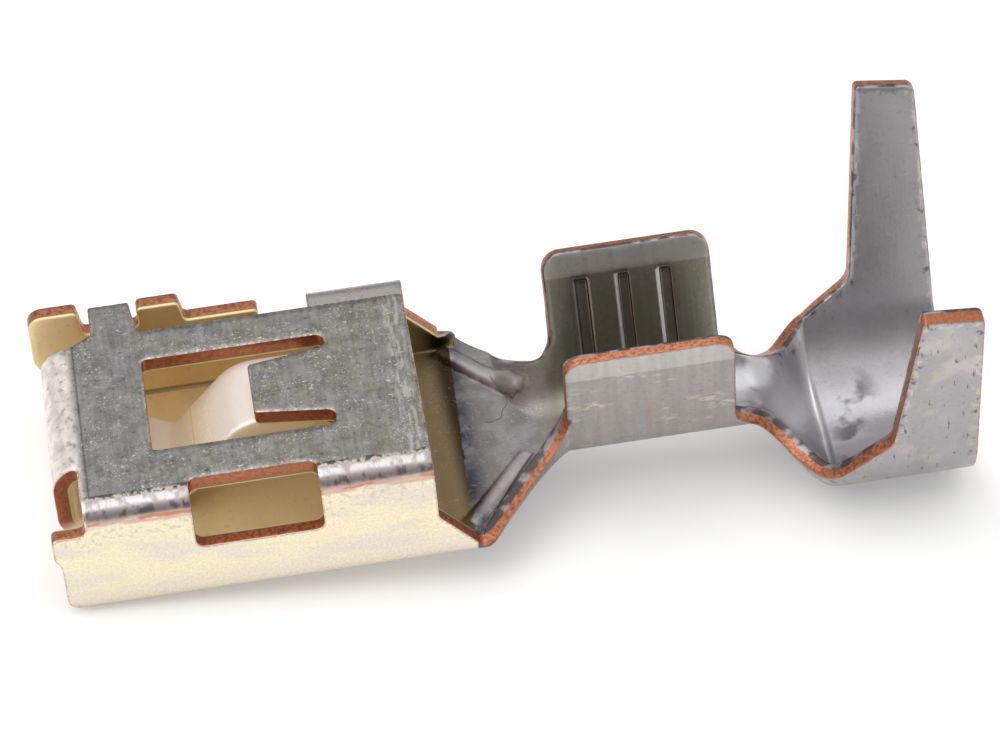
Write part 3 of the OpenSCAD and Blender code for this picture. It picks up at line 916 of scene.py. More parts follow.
class Graph:
    """A node tree under construction."""

    def __init__(self, tree: bpy.types.NodeTree) -> None:
        """Keeps the tree."""
        self.tree = tree

    @classmethod
    def fresh(cls, owner: bpy.types.Material | bpy.types.World) -> "Graph":
        """Starts the empty graph of a material or of the world.

        Args:
            owner: what the graph belongs to.

        Returns:
            The graph.
        """
        owner.use_nodes = True
        owner.node_tree.nodes.clear()
        return cls(owner.node_tree)

    def node(self, kind: str, inputs: dict | None = None, output: int | str = 0, **settings: object) -> Term:
        """Adds any node.

        Args:
            kind: the node's type name.
            inputs: values or terms for inputs, by name or index.
            output: the output to return.
            **settings: the node's own properties.

        Returns:
            The chosen output.
        """
        node = self.tree.nodes.new(kind)
        for key, value in settings.items():
            setattr(node, key, value)
        for key, value in (inputs or {}).items():
            socket = node.inputs[key]
            if isinstance(value, Term):
                self.tree.links.new(value.socket, socket)
            else:
                socket.default_value = value
        return Term(self, node.outputs[output])

    def end(self, kind: str, name: str, last: Term) -> None:
        """Ends the graph: links the last term to the named input of an output node."""
        out = self.tree.nodes.new(kind)
        self.tree.links.new(last.socket, out.inputs[name])

    def math(self, operation: str, *values: Operand) -> Term:
        """Adds a scalar maths node."""
        return self.node("ShaderNodeMath", dict(enumerate(values)), operation=operation)

    def split(self, vector: Term) -> tuple[Term, Term, Term]:
        """The three parts of a vector."""
        node = self.node("ShaderNodeSeparateXYZ", {0: vector}).socket.node
        return tuple(Term(self, socket) for socket in node.outputs)


def coated(base: Paint, *coats: tuple[Term, Paint]) -> Term:
    """Lays colours over a base.

    Args:
        base: the colour underneath.
        *coats: each colour with the share that it covers, from the lowest up.

    Returns:
        The colour that is seen.
    """
    for share, top in coats:
        under, over = (c if isinstance(c, Term) else (*c, 1.0) for c in (base, top))
        inputs = {"Factor": share, 6: under, 7: over}
        base = share.graph.node("ShaderNodeMix", inputs, output=2, data_type="RGBA")
    return base


def toned(colour: Paint, tone: Term) -> Term:
    """Colour made lighter or darker by a factor."""
    return tone.graph.node("ShaderNodeVectorMath", {0: colour, "Scale": tone}, operation="SCALE")


@dataclass(frozen=True)
class Pressing:
    """Features pressed into the folded sheet: gripping grooves and stiffening ribs."""

    groove_count: int = 3
    groove_pitch: float = 0.975
    groove_first: float = 11.985
    groove_width: float = 0.3
    groove_depth: float = 0.09
    groove_top: float = 3.34
    rib_width: float = 0.5
    rib_height: float = 0.16
    rib_start: float = 0.1
    rib_blur: float = 0.04
    rib_fullness: float = 0.6
    groove_skin: tuple[float, float] = (0.8, 1.0)
    groove_flank: tuple[float, float] = (0.34, 0.5)
    groove_end: tuple[float, float] = (-0.06, 0.04)
    far_rib: Run = (8.5, 3.24, 10.25, 1.26)
    near_rib: Run = (8.5, 3.12, 10.2, 0.94)

    def inputs(self) -> dict[str, tuple[str, object]]:
        """Named inputs of the node group, each with its socket type and value."""
        return {
            "Groove Count": ("NodeSocketInt", self.groove_count),
            "Groove Pitch": ("NodeSocketFloat", self.groove_pitch),
            "First Groove": ("NodeSocketFloat", self.groove_first),
            "Groove Width": ("NodeSocketFloat", self.groove_width),
            "Groove Depth": ("NodeSocketFloat", self.groove_depth),
            "Groove Top": ("NodeSocketFloat", self.groove_top),
            "Rib Width": ("NodeSocketFloat", self.rib_width),
            "Rib Height": ("NodeSocketFloat", self.rib_height),
        }

    def tree(self, material: bpy.types.Material) -> bpy.types.GeometryNodeTree:
        """Builds the node group that presses the features into a sheet with its attributes.

        Args:
            material: what the sheet is dressed with.

        Returns:
            The node group.
        """
        tree = bpy.data.node_groups.new("pressed features", "GeometryNodeTree")
        tree.interface.new_socket("Sheet", in_out="INPUT", socket_type="NodeSocketGeometry")
        for name, (kind, _) in self.inputs().items():
            tree.interface.new_socket(name, in_out="INPUT", socket_type=kind)
        tree.interface.new_socket("Sheet", in_out="OUTPUT", socket_type="NodeSocketGeometry")
        g = Graph(tree)
        group = tree.nodes.new("NodeGroupInput")
        given = {socket.name: Term(g, socket) for socket in group.outputs if socket.name}
        x, _, z = g.split(g.node("GeometryNodeInputPosition"))
        blank, depth, inward = (
            g.node("GeometryNodeInputNamedAttribute", {"Name": name}, data_type=kind)
            for name, kind in (("blank", "FLOAT_VECTOR"), ("depth", "FLOAT"), ("inward", "FLOAT_VECTOR"))
        )
        _, w, _ = g.split(blank)
        groove = self.groove(given, x, z) * depth.ramp(*self.groove_skin)
        rib = self.rib(given, x, w, self.far_rib).most(self.rib(given, x, -w, self.near_rib))
        lift = rib * given["Rib Height"] - groove * given["Groove Depth"]
        offset = g.node("ShaderNodeVectorMath", {0: inward, "Scale": lift}, operation="SCALE")
        moved = g.node("GeometryNodeSetPosition", {"Geometry": given["Sheet"], "Offset": offset})
        kept = {"Geometry": moved, "Name": "pressed", "Value": groove.most(rib)}
        stored = g.node("GeometryNodeStoreNamedAttribute", kept, data_type="FLOAT", domain="POINT")
        real = g.node("GeometryNodeRealizeInstances", {"Geometry": stored})
        painted = g.node("GeometryNodeSetMaterial", {"Geometry": real, "Material": material})
        g.end("NodeGroupOutput", "Sheet", painted)
        return tree

    def groove(self, given: dict[str, Term], x: Term, z: Term) -> Term:
        """Finds the share of a groove's depth at each point, for a row of like grooves.

        Args:
            given: the node group's inputs by name.
            x: length along the strip.
            z: height.

        Returns:
            The share.
        """
        place = (x - given["First Groove"]) / given["Groove Pitch"]
        index = place.graph.math("ROUND", place).most(0.0).least(given["Groove Count"] - 1.0)
        away = abs(place - index) * given["Groove Pitch"] / given["Groove Width"]
        above = z - given["Groove Top"]
        return away.ramp(*self.groove_flank, (1.0, 0.0)) * above.ramp(*self.groove_end, (1.0, 0.0))

    def rib(self, given: dict[str, Term], x: Term, w: Term, run: Run) -> Term:
        """Finds the share of a rib's height at each point.

        Args:
            given: the node group's inputs by name.
            x: length along the strip.
            w: blank width on the rib's side.
            run: the rib's two ends on the blank, each as length and width.

        Returns:
            The share.
        """
        ax, aw, bx, bw = run
        length = math.hypot(bx - ax, bw - aw)
        ux, uw = (bx - ax) / length, (bw - aw) / length
        along = (x - ax) * ux + (w - aw) * uw
        off = abs((x - ax) * uw - (w - aw) * ux) / given["Rib Width"] * 2.0
        crown = (1.0 - off * off).most(0.0)
        return crown**self.rib_fullness * along.band(self.rib_start, length, self.rib_blur)

    def apply(self, piece: bpy.types.Object, material: bpy.types.Material) -> None:
        """Presses the features into a piece and leaves it as a plain mesh.

        Args:
            piece: the sheet, with its attributes.
            material: what it is dressed with.
        """
        tree = self.tree(material)
        modifier = piece.modifiers.new("pressed features", "NODES")
        values = {name: value for name, (_, value) in self.inputs().items()}
        modifier.node_group = tree
        for item in tree.interface.items_tree:
            if item.in_out == "INPUT" and item.name in values:
                modifier[item.identifier] = values[item.name]
        depsgraph = bpy.context.evaluated_depsgraph_get()
        flat = piece.data
        made = bpy.data.meshes.new_from_object(
            piece.evaluated_get(depsgraph), preserve_all_data_layers=True, depsgraph=depsgraph
        )
        piece.modifiers.remove(modifier)
        piece.data = made
        made.name = piece.name
        bpy.data.meshes.remove(flat)


@dataclass(frozen=True)
class Places:
    """Terms for where a point lies: on the blank, in its depth, away from an edge and in a pressing."""

    x: Term
    w: Term
    depth: Term
    rim: Term
    pressed: Term
    spot: Term

    @classmethod
    def read(cls, g: Graph) -> "Places":
        """Reads the sheet's own coordinates.

        Args:
            g: graph of the material.

        Returns:
            The places.
        """
        x, w, _ = g.split(g.node("ShaderNodeUVMap", uv_map="blank"))
        depth, rim, pressed = (
            g.node("ShaderNodeAttribute", output="Fac", attribute_name=name)
            for name in ("depth", "rim", "pressed")
        )
        return cls(x, w, depth, rim, pressed, g.node("ShaderNodeCombineXYZ", {0: x, 1: w, 2: depth * 2.0}))

    @property
    def inner(self) -> Term:
        """1 on the sheet's inner face, 0 on its outer one."""
        return self.depth.ramp(0.6, 0.9)


@dataclass(frozen=True)
class TinFinish:
    """Worn plating on copper alloy: cream and grey outside the box, gold inside it, grey tin on the crimps.

    The methods take the places on the sheet and give a colour or a value for each; numbers are shares and
    millimetres on the blank.
    """

    plate: Colour = (0.35, 0.34, 0.32)
    plate_olive: Colour = (0.345, 0.328, 0.275)
    plate_blue: Colour = (0.29, 0.305, 0.33)
    pale: Colour = (0.84, 0.81, 0.79)
    # Soot for real dirt, also laid as painted shade along folds, creases, groove walls and rib flanks, and
    # as painted dark reflections in the insulation barrel.
    soot_and_shade: Colour = (0.07, 0.062, 0.068)
    cream: Colour = (0.84, 0.755, 0.56)
    film: Colour = (0.72, 0.655, 0.585)
    rose: Colour = (0.6, 0.4, 0.35)
    bruise: Colour = (0.4, 0.34, 0.36)
    rust: Colour = (0.5, 0.42, 0.34)
    ivory: Colour = (0.93, 0.85, 0.82)
    glint: Colour = (1.0, 0.98, 0.95)
    spring: Colour = (0.95, 0.86, 0.7)
    gold: Colour = (0.88, 0.69, 0.38)
    olive: Colour = (0.72, 0.57, 0.29)
    brass: Colour = (0.42, 0.29, 0.09)
    # Tarnish on the box's cut edges, also laid as painted shade in the box's inner bends and behind its
    # plate.
    tarnish_and_shade: Colour = (0.24, 0.185, 0.1)
    umber: Colour = (0.03, 0.018, 0.008)
    flange: Colour = (0.55, 0.515, 0.485)
    neck: Colour = (0.31, 0.298, 0.295)
    blue: Colour = (0.04, 0.045, 0.07)
    conductor: Colour = (0.36, 0.338, 0.32)
    # Olive tin inside the crimp, darker partly as painted shade.
    conductor_inside: Colour = (0.3, 0.285, 0.235)
    coined: Colour = (0.5, 0.475, 0.44)
    insulation: Colour = (0.4, 0.382, 0.395)
    # Painted highlight on the insulation barrel's inner floor.
    barrel_highlight: Colour = (0.74, 0.74, 0.78)
    smudge: Colour = (0.62, 0.57, 0.48)
    copper: Colour = (0.58, 0.235, 0.13)
    copper_dull: Colour = (0.34, 0.125, 0.07)
    smear: Colour = (0.12, 0.105, 0.11)
    plating_line: float = 8.735
    bend_start: float = 5.758
    plate_start: float = 6.168
    flange_start: float = 5.716
    coin_line: float = 3.93
    crease_x: float = 17.15
    rough: float = 0.34
    grain_height: float = 2.2e-6

    def material(self, crease: float) -> bpy.types.Material:
        """Builds the material.

        Args:
            crease: length along the curl at which the spring has its pressed line.

        Returns:
            The material of the whole sheet.
        """
        material = bpy.data.materials.new("tin plate")
        g = Graph.fresh(material)
        p = Places.read(g)
        wander = p.spot.noise(2.4, 3.0) - 0.5
        line = p.x - p.w * 0.03 - wander * p.w.ramp(0.6, -0.6, (0.04, 0.3))
        crimped = line.ramp(self.plating_line - 0.02, self.plating_line + 0.02)
        faces = coated(
            self.box_outside(p),
            (p.inner, self.box_inside(p, crease)),
            (crimped, self.neck_face(p)),
            (p.x.ramp(10.3, 11.1), self.conductor_face(p)),
            (p.x.ramp(14.9, 15.3), self.insulation_face(p)),
        )
        shader = g.node("ShaderNodeBsdfPrincipled", {
            "Base Color": self.edges(p, faces),
            "Metallic": self.sheen(p),
            "Roughness": self.roughness(p),
            "Normal": self.grain(p),
        })
        g.end("ShaderNodeOutputMaterial", "Surface", shader)
        return material

    def flecked(self, p: Places, colour: Paint, light: float, dark: float) -> Term:
        """Adds fine light flecks and dark pits in loose groups.

        Args:
            p: places on the sheet.
            colour: the colour underneath.
            light: share of the flecks.
            dark: share of the pits.

        Returns:
            The flecked colour.
        """
        group = p.spot.noise(1.7, 3.0).ramp(0.38, 0.62, (0.15, 1.0))
        coarse = p.spot.noise(8.0, 4.0)
        bright = p.spot.noise(17.0, 3.0).ramp(0.59, 0.65).most(coarse.ramp(0.61, 0.67))
        pits = coarse.ramp(0.42, 0.3)
        return coated(colour, (bright * group * light, self.pale), (pits * dark, self.soot_and_shade))

    def turned(self, p: Places, start: float, end: float) -> Term:
        """Share of the curl and spring, which grows between two lengths."""
        return p.w.ramp(-self.plate_start, -self.plate_start - 0.1) * p.x.ramp(start, end)

    def box_outside(self, p: Places) -> Term:
        """Paints the outer face of the box: walls, near bend, top plate, curl and flange.

        Args:
            p: places on the sheet.

        Returns:
            The colour.
        """
        on_plate = p.w.ramp(-self.plate_start + 0.02, -self.plate_start - 0.06)
        blotch = p.spot.noise(3.0, 5.0, along=2.0, across=0.8)
        curl = toned(self.ivory, blotch.ramp(0.34, 0.66, (0.82, 1.06)))
        dash = p.spot.noise(5.0, 4.0, along=1.6, across=0.7).ramp(0.55, 0.64) * p.x.ramp(-0.5, 0.0)
        curl = coated(self.flecked(p, curl, 0.6, 0.35), (dash * 0.8, self.bruise))
        curled = on_plate * p.x.ramp(0.1, -0.12)
        colour = coated(self.wall(p), (on_plate, self.top(p)), (curled, curl))
        streak = p.w.band(self.flange_start + 0.42, self.flange_start + 0.6, 0.08)
        flange = coated(self.flecked(p, self.flange, 0.5, 0.3), (streak * 0.6, self.soot_and_shade))
        folded = p.w.ramp(self.flange_start - 0.5, self.flange_start - 0.3)
        return coated(self.near_bend(p, colour), (folded, flange))

    def wall(self, p: Places) -> Term:
        """Paints a box wall: cream plating, with a greyish film in patches and along its foot.

        Args:
            p: places on the sheet.

        Returns:
            The colour.
        """
        film = p.spot.noise(1.0, 6.0, along=0.5, across=1.6).ramp(0.45, 0.62) * 0.7
        foot = abs(p.w).ramp(4.15, 3.65) * 0.6
        colour = coated(self.cream, (film.most(foot), self.film))
        colour = toned(colour, p.spot.noise(16.0, 3.0).ramp(0.3, 0.7, (0.93, 1.06)))
        grime = p.spot.noise(6.0, 5.0).ramp(0.52, 0.64) * abs(p.w).ramp(4.6, self.bend_start)
        return coated(colour, (grime * 0.5, self.rust))

    def top(self, p: Places) -> Term:
        """Paints the top plate: grey clouds, cross brushing, flecks, pale rims that are partly wear and
        partly a painted highlight of the rounded cut edges, a mottled rear strip and a painted shaded line
        at the front fold.

        Args:
            p: places on the sheet.

        Returns:
            The colour.
        """
        tint = p.spot.noise(0.8).ramp(0.4, 0.62) * p.x.ramp(1.0, 4.0)
        cool = p.spot.noise(3.4, 4.0, along=1.5, across=0.8).ramp(0.5, 0.66)
        colour = coated(self.plate, (tint, self.plate_olive), (cool * 0.35, self.plate_blue))
        colour = toned(colour, p.spot.noise(2.2, 5.0).ramp(0.3, 0.7, (0.8, 1.2)))
        brush = p.spot.noise(1.0, 3.0, along=12.0, across=0.9)
        colour = toned(colour, brush.ramp(0.3, 0.7, (0.9, 1.12)))
        mottle = p.spot.noise(4.0, 5.0, along=2.6, across=0.5).ramp(0.44, 0.62)
        # Pale near the cut edges, partly wear and partly painted highlight of their rounding; the rear
        # strip's mottle is wear.
        worn = (p.rim.ramp(0.09, 0.02) * 0.6).most(p.x.band(7.3, 7.72, 0.08) * 0.5)
        # Painted shade along the front fold into the curl.
        front = p.x.band(0.08, 0.12, 0.02)
        colour = self.flecked(p, colour, 0.8, 0.5)
        return coated(colour, (worn * mottle, self.pale), (front * 0.55, self.soot_and_shade))

    def near_bend(self, p: Places, colour: Term) -> Term:
        """Paints the bend between near wall and plate: sooty lines, a pale ridge that is partly wear and
        partly a painted highlight, and a worn rose streak.

        Args:
            p: places on the sheet.
            colour: the colour underneath.

        Returns:
            The colour.
        """
        drawn = p.spot.noise(1.0, 5.0, along=1.8, across=9.0)
        below = -self.bend_start - p.w + (drawn - 0.5) * 0.12
        boxed = p.x.ramp(-0.06, 0.0)
        spotty = p.spot.noise(6.0, 4.0)
        # Pale ridge along the bend: partly wear, partly painted highlight.
        ridge = below.band(0.24, 0.38, 0.04) * spotty.ramp(0.38, 0.56)
        streak = below.band(-0.05, 0.1, 0.04) * drawn.ramp(0.32, 0.5)
        thread = abs(below - 0.04).ramp(0.03, 0.012) * p.spot.noise(0.9).ramp(0.4, 0.52)
        lines = below.band(0.38, 0.5, 0.03).most(below.band(0.1, 0.22, 0.04) * 0.7)
        return coated(
            colour,
            (boxed * below.band(0.06, 0.4, 0.04) * 0.9, self.bruise),
            (boxed * ridge * 0.6, self.pale),
            (boxed * streak * 0.85, self.rose),
            (boxed * thread * 0.9, self.copper),
            (boxed * lines * spotty.ramp(0.46, 0.56) * 0.85, self.soot_and_shade),
        )

    def box_inside(self, p: Places, crease: float) -> Term:
        """Paints the inner face of the box: gold with painted shade in its inner bends, behind its plate and
        along the plating line, and the pale spring with a painted glint and a painted shaded crease line.

        Args:
            p: places on the sheet.
            crease: length along the curl at which the spring has its pressed line.

        Returns:
            The colour.
        """
        patch = p.spot.noise(0.7, 3.0).ramp(0.38, 0.62)
        tabs = p.w.ramp(4.8, 5.3) * p.x.ramp(1.2, 1.6)
        shade = (p.x + p.w * 0.04).ramp(8.25, self.plating_line) ** 1.2
        colour = coated(
            self.gold,
            (patch * 0.5, self.olive),
            # Painted shade darkens the floor from under the plate's rear onto the strip behind the box.
            (p.x.ramp(7.1, 8.1) * 0.9, self.tarnish_and_shade),
            (tabs * 0.7, self.brass),
            (shade * 0.92, self.umber),
        )
        # Painted shade in the inner bends between floor and walls.
        bend = abs(p.w).band(3.2, 3.62, 0.05)
        colour = coated(self.flecked(p, colour, 0.12, 0.12), (bend * 0.8, self.tarnish_and_shade))
        rise = -p.x - crease
        # Painted highlight on the spring's upper slope near the tongue.
        spring_glint = p.spot.noise(9.0, 4.0, along=0.7, across=1.4).ramp(0.55, 0.62) * rise.band(0.15, 0.9, 0.3)
        spring = coated(self.spring, (rise.ramp(0.3, 1.2) * 0.8, self.ivory), (spring_glint * 0.9, self.glint))
        # Painted shade along the spring's pressed crease line.
        pressed = rise.band(-0.02, 0.02, 0.015)
        spring = coated(self.flecked(p, spring, 0.6, 0.06), (pressed * 0.5, self.olive))
        return coated(colour, (self.turned(p, 0.0, -0.1), spring))

    def neck_face(self, p: Places) -> Term:
        """Paints the first neck: bluish behind the plating line, with dark wandering scratches, painted
        highlight on the ribs' crests and painted shade on their flanks.

        Args:
            p: places on the sheet.

        Returns:
            The colour.
        """
        film = p.spot.noise(1.6, 4.0).ramp(0.4, 0.66)
        within = p.spot.noise(1.6, 3.0).ramp(0.44, 0.56) * abs(p.w).ramp(2.3, 1.8)
        scratch = abs(p.spot.noise(0.55, 3.0) - 0.5).ramp(0.012, 0.003) * within * p.pressed.ramp(0.05, 0.0)
        colour = coated(
            self.neck,
            (p.x.ramp(9.25, 8.75) * 0.9, self.blue),
            (film * 0.22, self.pale),
            # Painted highlight on the ribs' crests and painted shade on their flanks.
            (p.pressed.ramp(0.6, 0.95) * 0.18, self.pale),
            (p.pressed.band(0.02, 0.4, 0.1) * 0.5, self.soot_and_shade),
        )
        return coated(self.flecked(p, colour, 0.2, 0.2), (scratch * 0.7, self.soot_and_shade))

    def conductor_face(self, p: Places) -> Term:
        """Paints the conductor crimp: olive inside and darker there, partly as painted shade, grey with
        cream smudges outside, paler where coined, with painted shade and painted highlights at the grooves.

        Args:
            p: places on the sheet.

        Returns:
            The colour.
        """
        rubbed = p.spot.noise(1.0, 5.0, along=1.2, across=3.0).ramp(0.5, 0.66)
        rubbed *= p.spot.noise(0.6).ramp(0.4, 0.6)
        dry = p.spot.noise(7.0, 4.0, along=0.7, across=1.6).ramp(0.4, 0.6)
        coined = abs(p.w).ramp(self.coin_line - 0.03, self.coin_line + 0.03)
        colour = coated(
            self.conductor,
            (rubbed * dry * 0.85, self.smudge),
            # The inner face is darker olive, partly as painted shade of the channel's inside.
            (p.inner, self.conductor_inside),
            (coined * 0.8, self.coined),
        )
        colour = toned(colour, p.spot.noise(1.0, 3.0, along=5.0, across=0.4).ramp(0.3, 0.7, (0.93, 1.07)))
        # Painted shade inside the grooves.
        colour = toned(colour, p.pressed.ramp(0.3, 0.9, (1.0, 0.8)))
        nick = p.x.band(13.0, 13.03, 0.02) * p.w.band(-2.5, -1.5, 0.2) * (1.0 - p.inner)
        colour = coated(
            colour,
            # Painted highlight on the grooves' rims and painted shade down their walls.
            (p.pressed.band(0.02, 0.2, 0.02) * 0.5, self.pale),
            (p.pressed.band(0.4, 0.85, 0.1) * 0.85, self.soot_and_shade),
            (nick * 0.7, self.copper),
        )
        return self.flecked(p, colour, 0.12, 0.2)

    def insulation_face(self, p: Places) -> Term:
        """Paints the insulation crimp: scratched and smudged, with flecked edges, a painted highlight on the
        barrel's floor and along its crease, painted shade beside the crease and painted dark reflections in
        the barrel.

        Args:
            p: places on the sheet.

        Returns:
            The colour.
        """
        outer = 1.0 - p.inner
        smudge = p.spot.noise(0.9, 5.0).ramp(0.54, 0.64) * outer
        # Painted highlight on the barrel's inner floor.
        bright = p.inner * abs(p.w).ramp(1.9, 1.0)
        colour = coated(self.insulation, (smudge * 0.4, self.smudge), (bright * 0.5, self.barrel_highlight))
        colour = toned(colour, p.spot.noise(0.8, 3.0, along=1.6, across=0.8).ramp(0.3, 0.7, (0.94, 1.06)))
        tick = p.spot.noise(1.0, 3.0, along=9.0, across=1.8).ramp(0.37, 0.29) * outer
        border = p.rim.ramp(0.3, 0.1)
        patchy = p.spot.noise(5.0, 4.0, across=0.6)
        pinch = p.x - self.crease_x + p.w * p.w * 0.03
        low = p.inner * abs(p.w - 0.1).ramp(2.1, 1.2)
        shade = p.spot.noise(1.1, 3.0).ramp(0.52, 0.64) * p.x.band(17.5, 18.6, 0.3)
        colour = coated(
            colour,
            (tick * 0.75, self.soot_and_shade),
            (border * patchy.ramp(0.54, 0.62) * 0.6, self.smudge),
            (border * patchy.ramp(0.42, 0.34) * 0.7, self.soot_and_shade),
            # Painted highlight along the crease, painted shade beside it and painted dark reflections on the
            # barrel's floor.
            (pinch.band(-0.05, 0.05, 0.04) * low * 0.85, self.pale),
            (pinch.band(0.1, 0.2, 0.05) * low * 0.55, self.soot_and_shade),
            (shade * low * 0.7, self.soot_and_shade),
        )
        return self.flecked(p, colour, 0.1, 0.15)

    def edges(self, p: Places, colour: Term) -> Term:
        """Paints the sheared edges: ragged copper on the outer half, smeared plating on the rest.

        Args:
            p: places on the sheet.
            colour: the colour of the faces.

        Returns:
            The colour.
        """
        spot = p.x.graph.node("ShaderNodeCombineXYZ", {0: p.x, 1: p.w, 2: p.depth * 0.4})
        boxed = p.x.ramp(self.plating_line, self.plating_line - 0.3)
        necks = (p.x.band(9.0, 10.9, 0.3) * 0.26).most(p.x.band(14.9, 17.6, 0.3) * 0.16)
        ragged = p.depth + (spot.noise(4.0, 5.0) - 0.5) * 0.3 + necks * p.w.ramp(0.3, -0.3)
        mottled = spot.noise(11.0, 4.0).ramp(0.36, 0.6)
        on_plate = p.w.ramp(-self.plate_start, -self.plate_start - 0.1)
        dirt = spot.noise(2.2, 5.0).ramp(0.46, 0.6)
        smear = coated(self.smear, (dirt, self.insulation), (boxed, self.tarnish_and_shade))
        cut = coated(
            self.copper_dull,
            (mottled * (1.0 - on_plate * 0.6), self.copper),
            (ragged.ramp(0.7, 0.76), smear),
            (p.depth.ramp(0.8, 0.87) * boxed, self.gold),
            (self.turned(p, -1.6, -2.0), self.spring),
        )
        burr = p.rim.ramp(0.06, 0.02) * p.depth.ramp(0.05, 0.0) * mottled
        sheared = p.depth.ramp(0.02, 0.06) * p.depth.ramp(1.0, 0.96)
        return coated(colour, (burr * 0.55, self.copper_dull), (sheared, cut))

    def roughness(self, p: Places) -> Term:
        """Gives the plating's dullness, greater where it is worn or sheared.

        Args:
            p: places on the sheet.

        Returns:
            The roughness.
        """
        uneven = (p.spot.noise(3.0, 4.0) - 0.5) * 0.16
        edge = p.depth.band(0.05, 0.95, 0.04) * 0.1
        inside = p.inner * p.x.ramp(self.plating_line + 0.1, self.plating_line - 0.1) * 0.14
        necked = p.x.band(9.0, 11.2, 0.5) * 0.2
        barrel = p.inner * abs(p.w).ramp(2.6, 1.8) * p.x.ramp(15.0, 15.6) * 0.1
        worn = inside.most(self.turned(p, 0.1, -0.1) * 0.2).most(necked)
        return uneven + edge + worn - barrel + self.rough

    def sheen(self, p: Places) -> Term:
        """How metallic the plating is, less so on the softer gold inside the box and on the dull neck."""
        inside = p.inner * p.x.ramp(8.3, 7.7) * 0.5
        return 1.0 - inside.most(p.x.band(9.5, 11.0, 0.3) * 0.3)

    def grain(self, p: Places) -> Term:
        """Normal with the fine grain of the plating."""
        height = p.spot.noise(18.0) + p.spot.noise(1.0, along=12.0) * 0.6
        inputs = {"Strength": 1.0, "Distance": self.grain_height, "Height": height}
        return height.graph.node("ShaderNodeBump", inputs)


def shown(name: str, data: bpy.types.ID) -> bpy.types.Object:
    """Adds an object to the scene.

    Args:
        name: name of the object.
        data: its mesh, camera or light.

    Returns:
        The object.
    """
    item = bpy.data.objects.new(name, data)
    bpy.context.scene.collection.objects.link(item)
    return item


@dataclass
class Terminal:
    """The folded terminal, one piece of sheet."""

    size: Sizes = field(default_factory=Sizes)
    edge: EdgeProfile = field(default_factory=EdgeProfile)
    pressing: Pressing = field(default_factory=Pressing)
    spacing: float = 0.12
    groove_reach: float = 0.2
    groove_step: float = 0.02
    neck_stretch: Run = (8.4, 10.4, 0.04, 0.07)
    pinch_stretch: Corner = (16.9, 17.4, 0.04)
    crease_x: float = 2.74

    @property
    def crease(self) -> float:
        """Length along the curl of the line pressed into the spring."""
        return Blank(self.size, Fold(self.size)).curl_length(self.crease_x)

    def finer(self) -> list[Run]:
        """Lists the stretches that need a closer lattice.

        Returns:
            Start, end, and gaps along and across the strip, of each.
        """
        press = self.pressing
        grooves = [press.groove_first + i * press.groove_pitch for i in range(press.groove_count)]
        reach = self.groove_reach
        close = [(x - reach, x + reach, self.groove_step, self.spacing) for x in grooves]
        return [self.neck_stretch, *close, (*self.pinch_stretch, self.spacing)]

    def place(self, fold: Fold, flat: np.ndarray, depth: np.ndarray) -> np.ndarray:
        """Puts places of the blank into space, in a sheet that is thinner where the wings are coined.

        Args:
            fold: how the blank is folded.
            flat: places on the blank.
            depth: their depths in the sheet.

        Returns:
            The points.
        """
        s = self.size
        x, w = flat[:, 0], flat[:, 1]
        middle = fold.middle(x, w)
        coined = np.clip((middle[:, 2] - s.conductor_top + s.coin_h) / s.coin_h, 0.0, 1.0)
        coined *= (x > s.conductor_x - s.coin_over) & (x < s.conductor_end + s.coin_over)
        sheet = s.sheet - s.coin_depth * coined
        return middle + fold.inward(x, w) * (sheet * (depth - 0.5))[:, None]

    def build(self, material: bpy.types.Material) -> bpy.types.Object:
        """Cuts, folds and presses the sheet, and turns it to its pose at rest.

        Args:
            material: what the sheet is dressed with.

        Returns:
            The finished piece.
        """
        fold = Fold(self.size)
        sheet = SheetMesh(Blank(self.size, fold), self.edge, self.spacing, self.finer())
        piece = shown("terminal_sheet", sheet.build("terminal_sheet", partial(self.place, fold)))
        self.pressing.apply(piece, material)
        mesh = piece.data
        mesh.transform(self.size.rest)
        layer = mesh.uv_layers.new(name="blank")
        flat = np.empty(len(mesh.vertices) * 3)
        mesh.attributes["blank"].data.foreach_get("vector", flat)
        loops = np.empty(len(mesh.loops), dtype=np.int32)
        mesh.loops.foreach_get("vertex_index", loops)
        layer.uv.foreach_set("vector", np.ravel(flat.reshape(-1, 3)[loops, :2]))
        return piece


def keep_inside(piece: bpy.types.Object, low: Vector, high: Vector, margin: float = 2e-6) -> None:
    """Moves what would stand out of a box by rounding back into it.

    Args:
        piece: the piece to hold.
        low: the box's low corner.
        high: its high corner.
        margin: how far inside the box the piece stays.
    """
    mesh = piece.data
    points = np.empty(len(mesh.vertices) * 3)
    mesh.vertices.foreach_get("co", points)
    points = points.reshape(-1, 3)
    held = np.clip(points, np.array(low) + margin, np.array(high) - margin)
    LOG.info("moved into the box by at most %.4f mm", float(np.abs(held - points).max()) / MM)
    mesh.vertices.foreach_set("co", np.ravel(held))
    mesh.update()


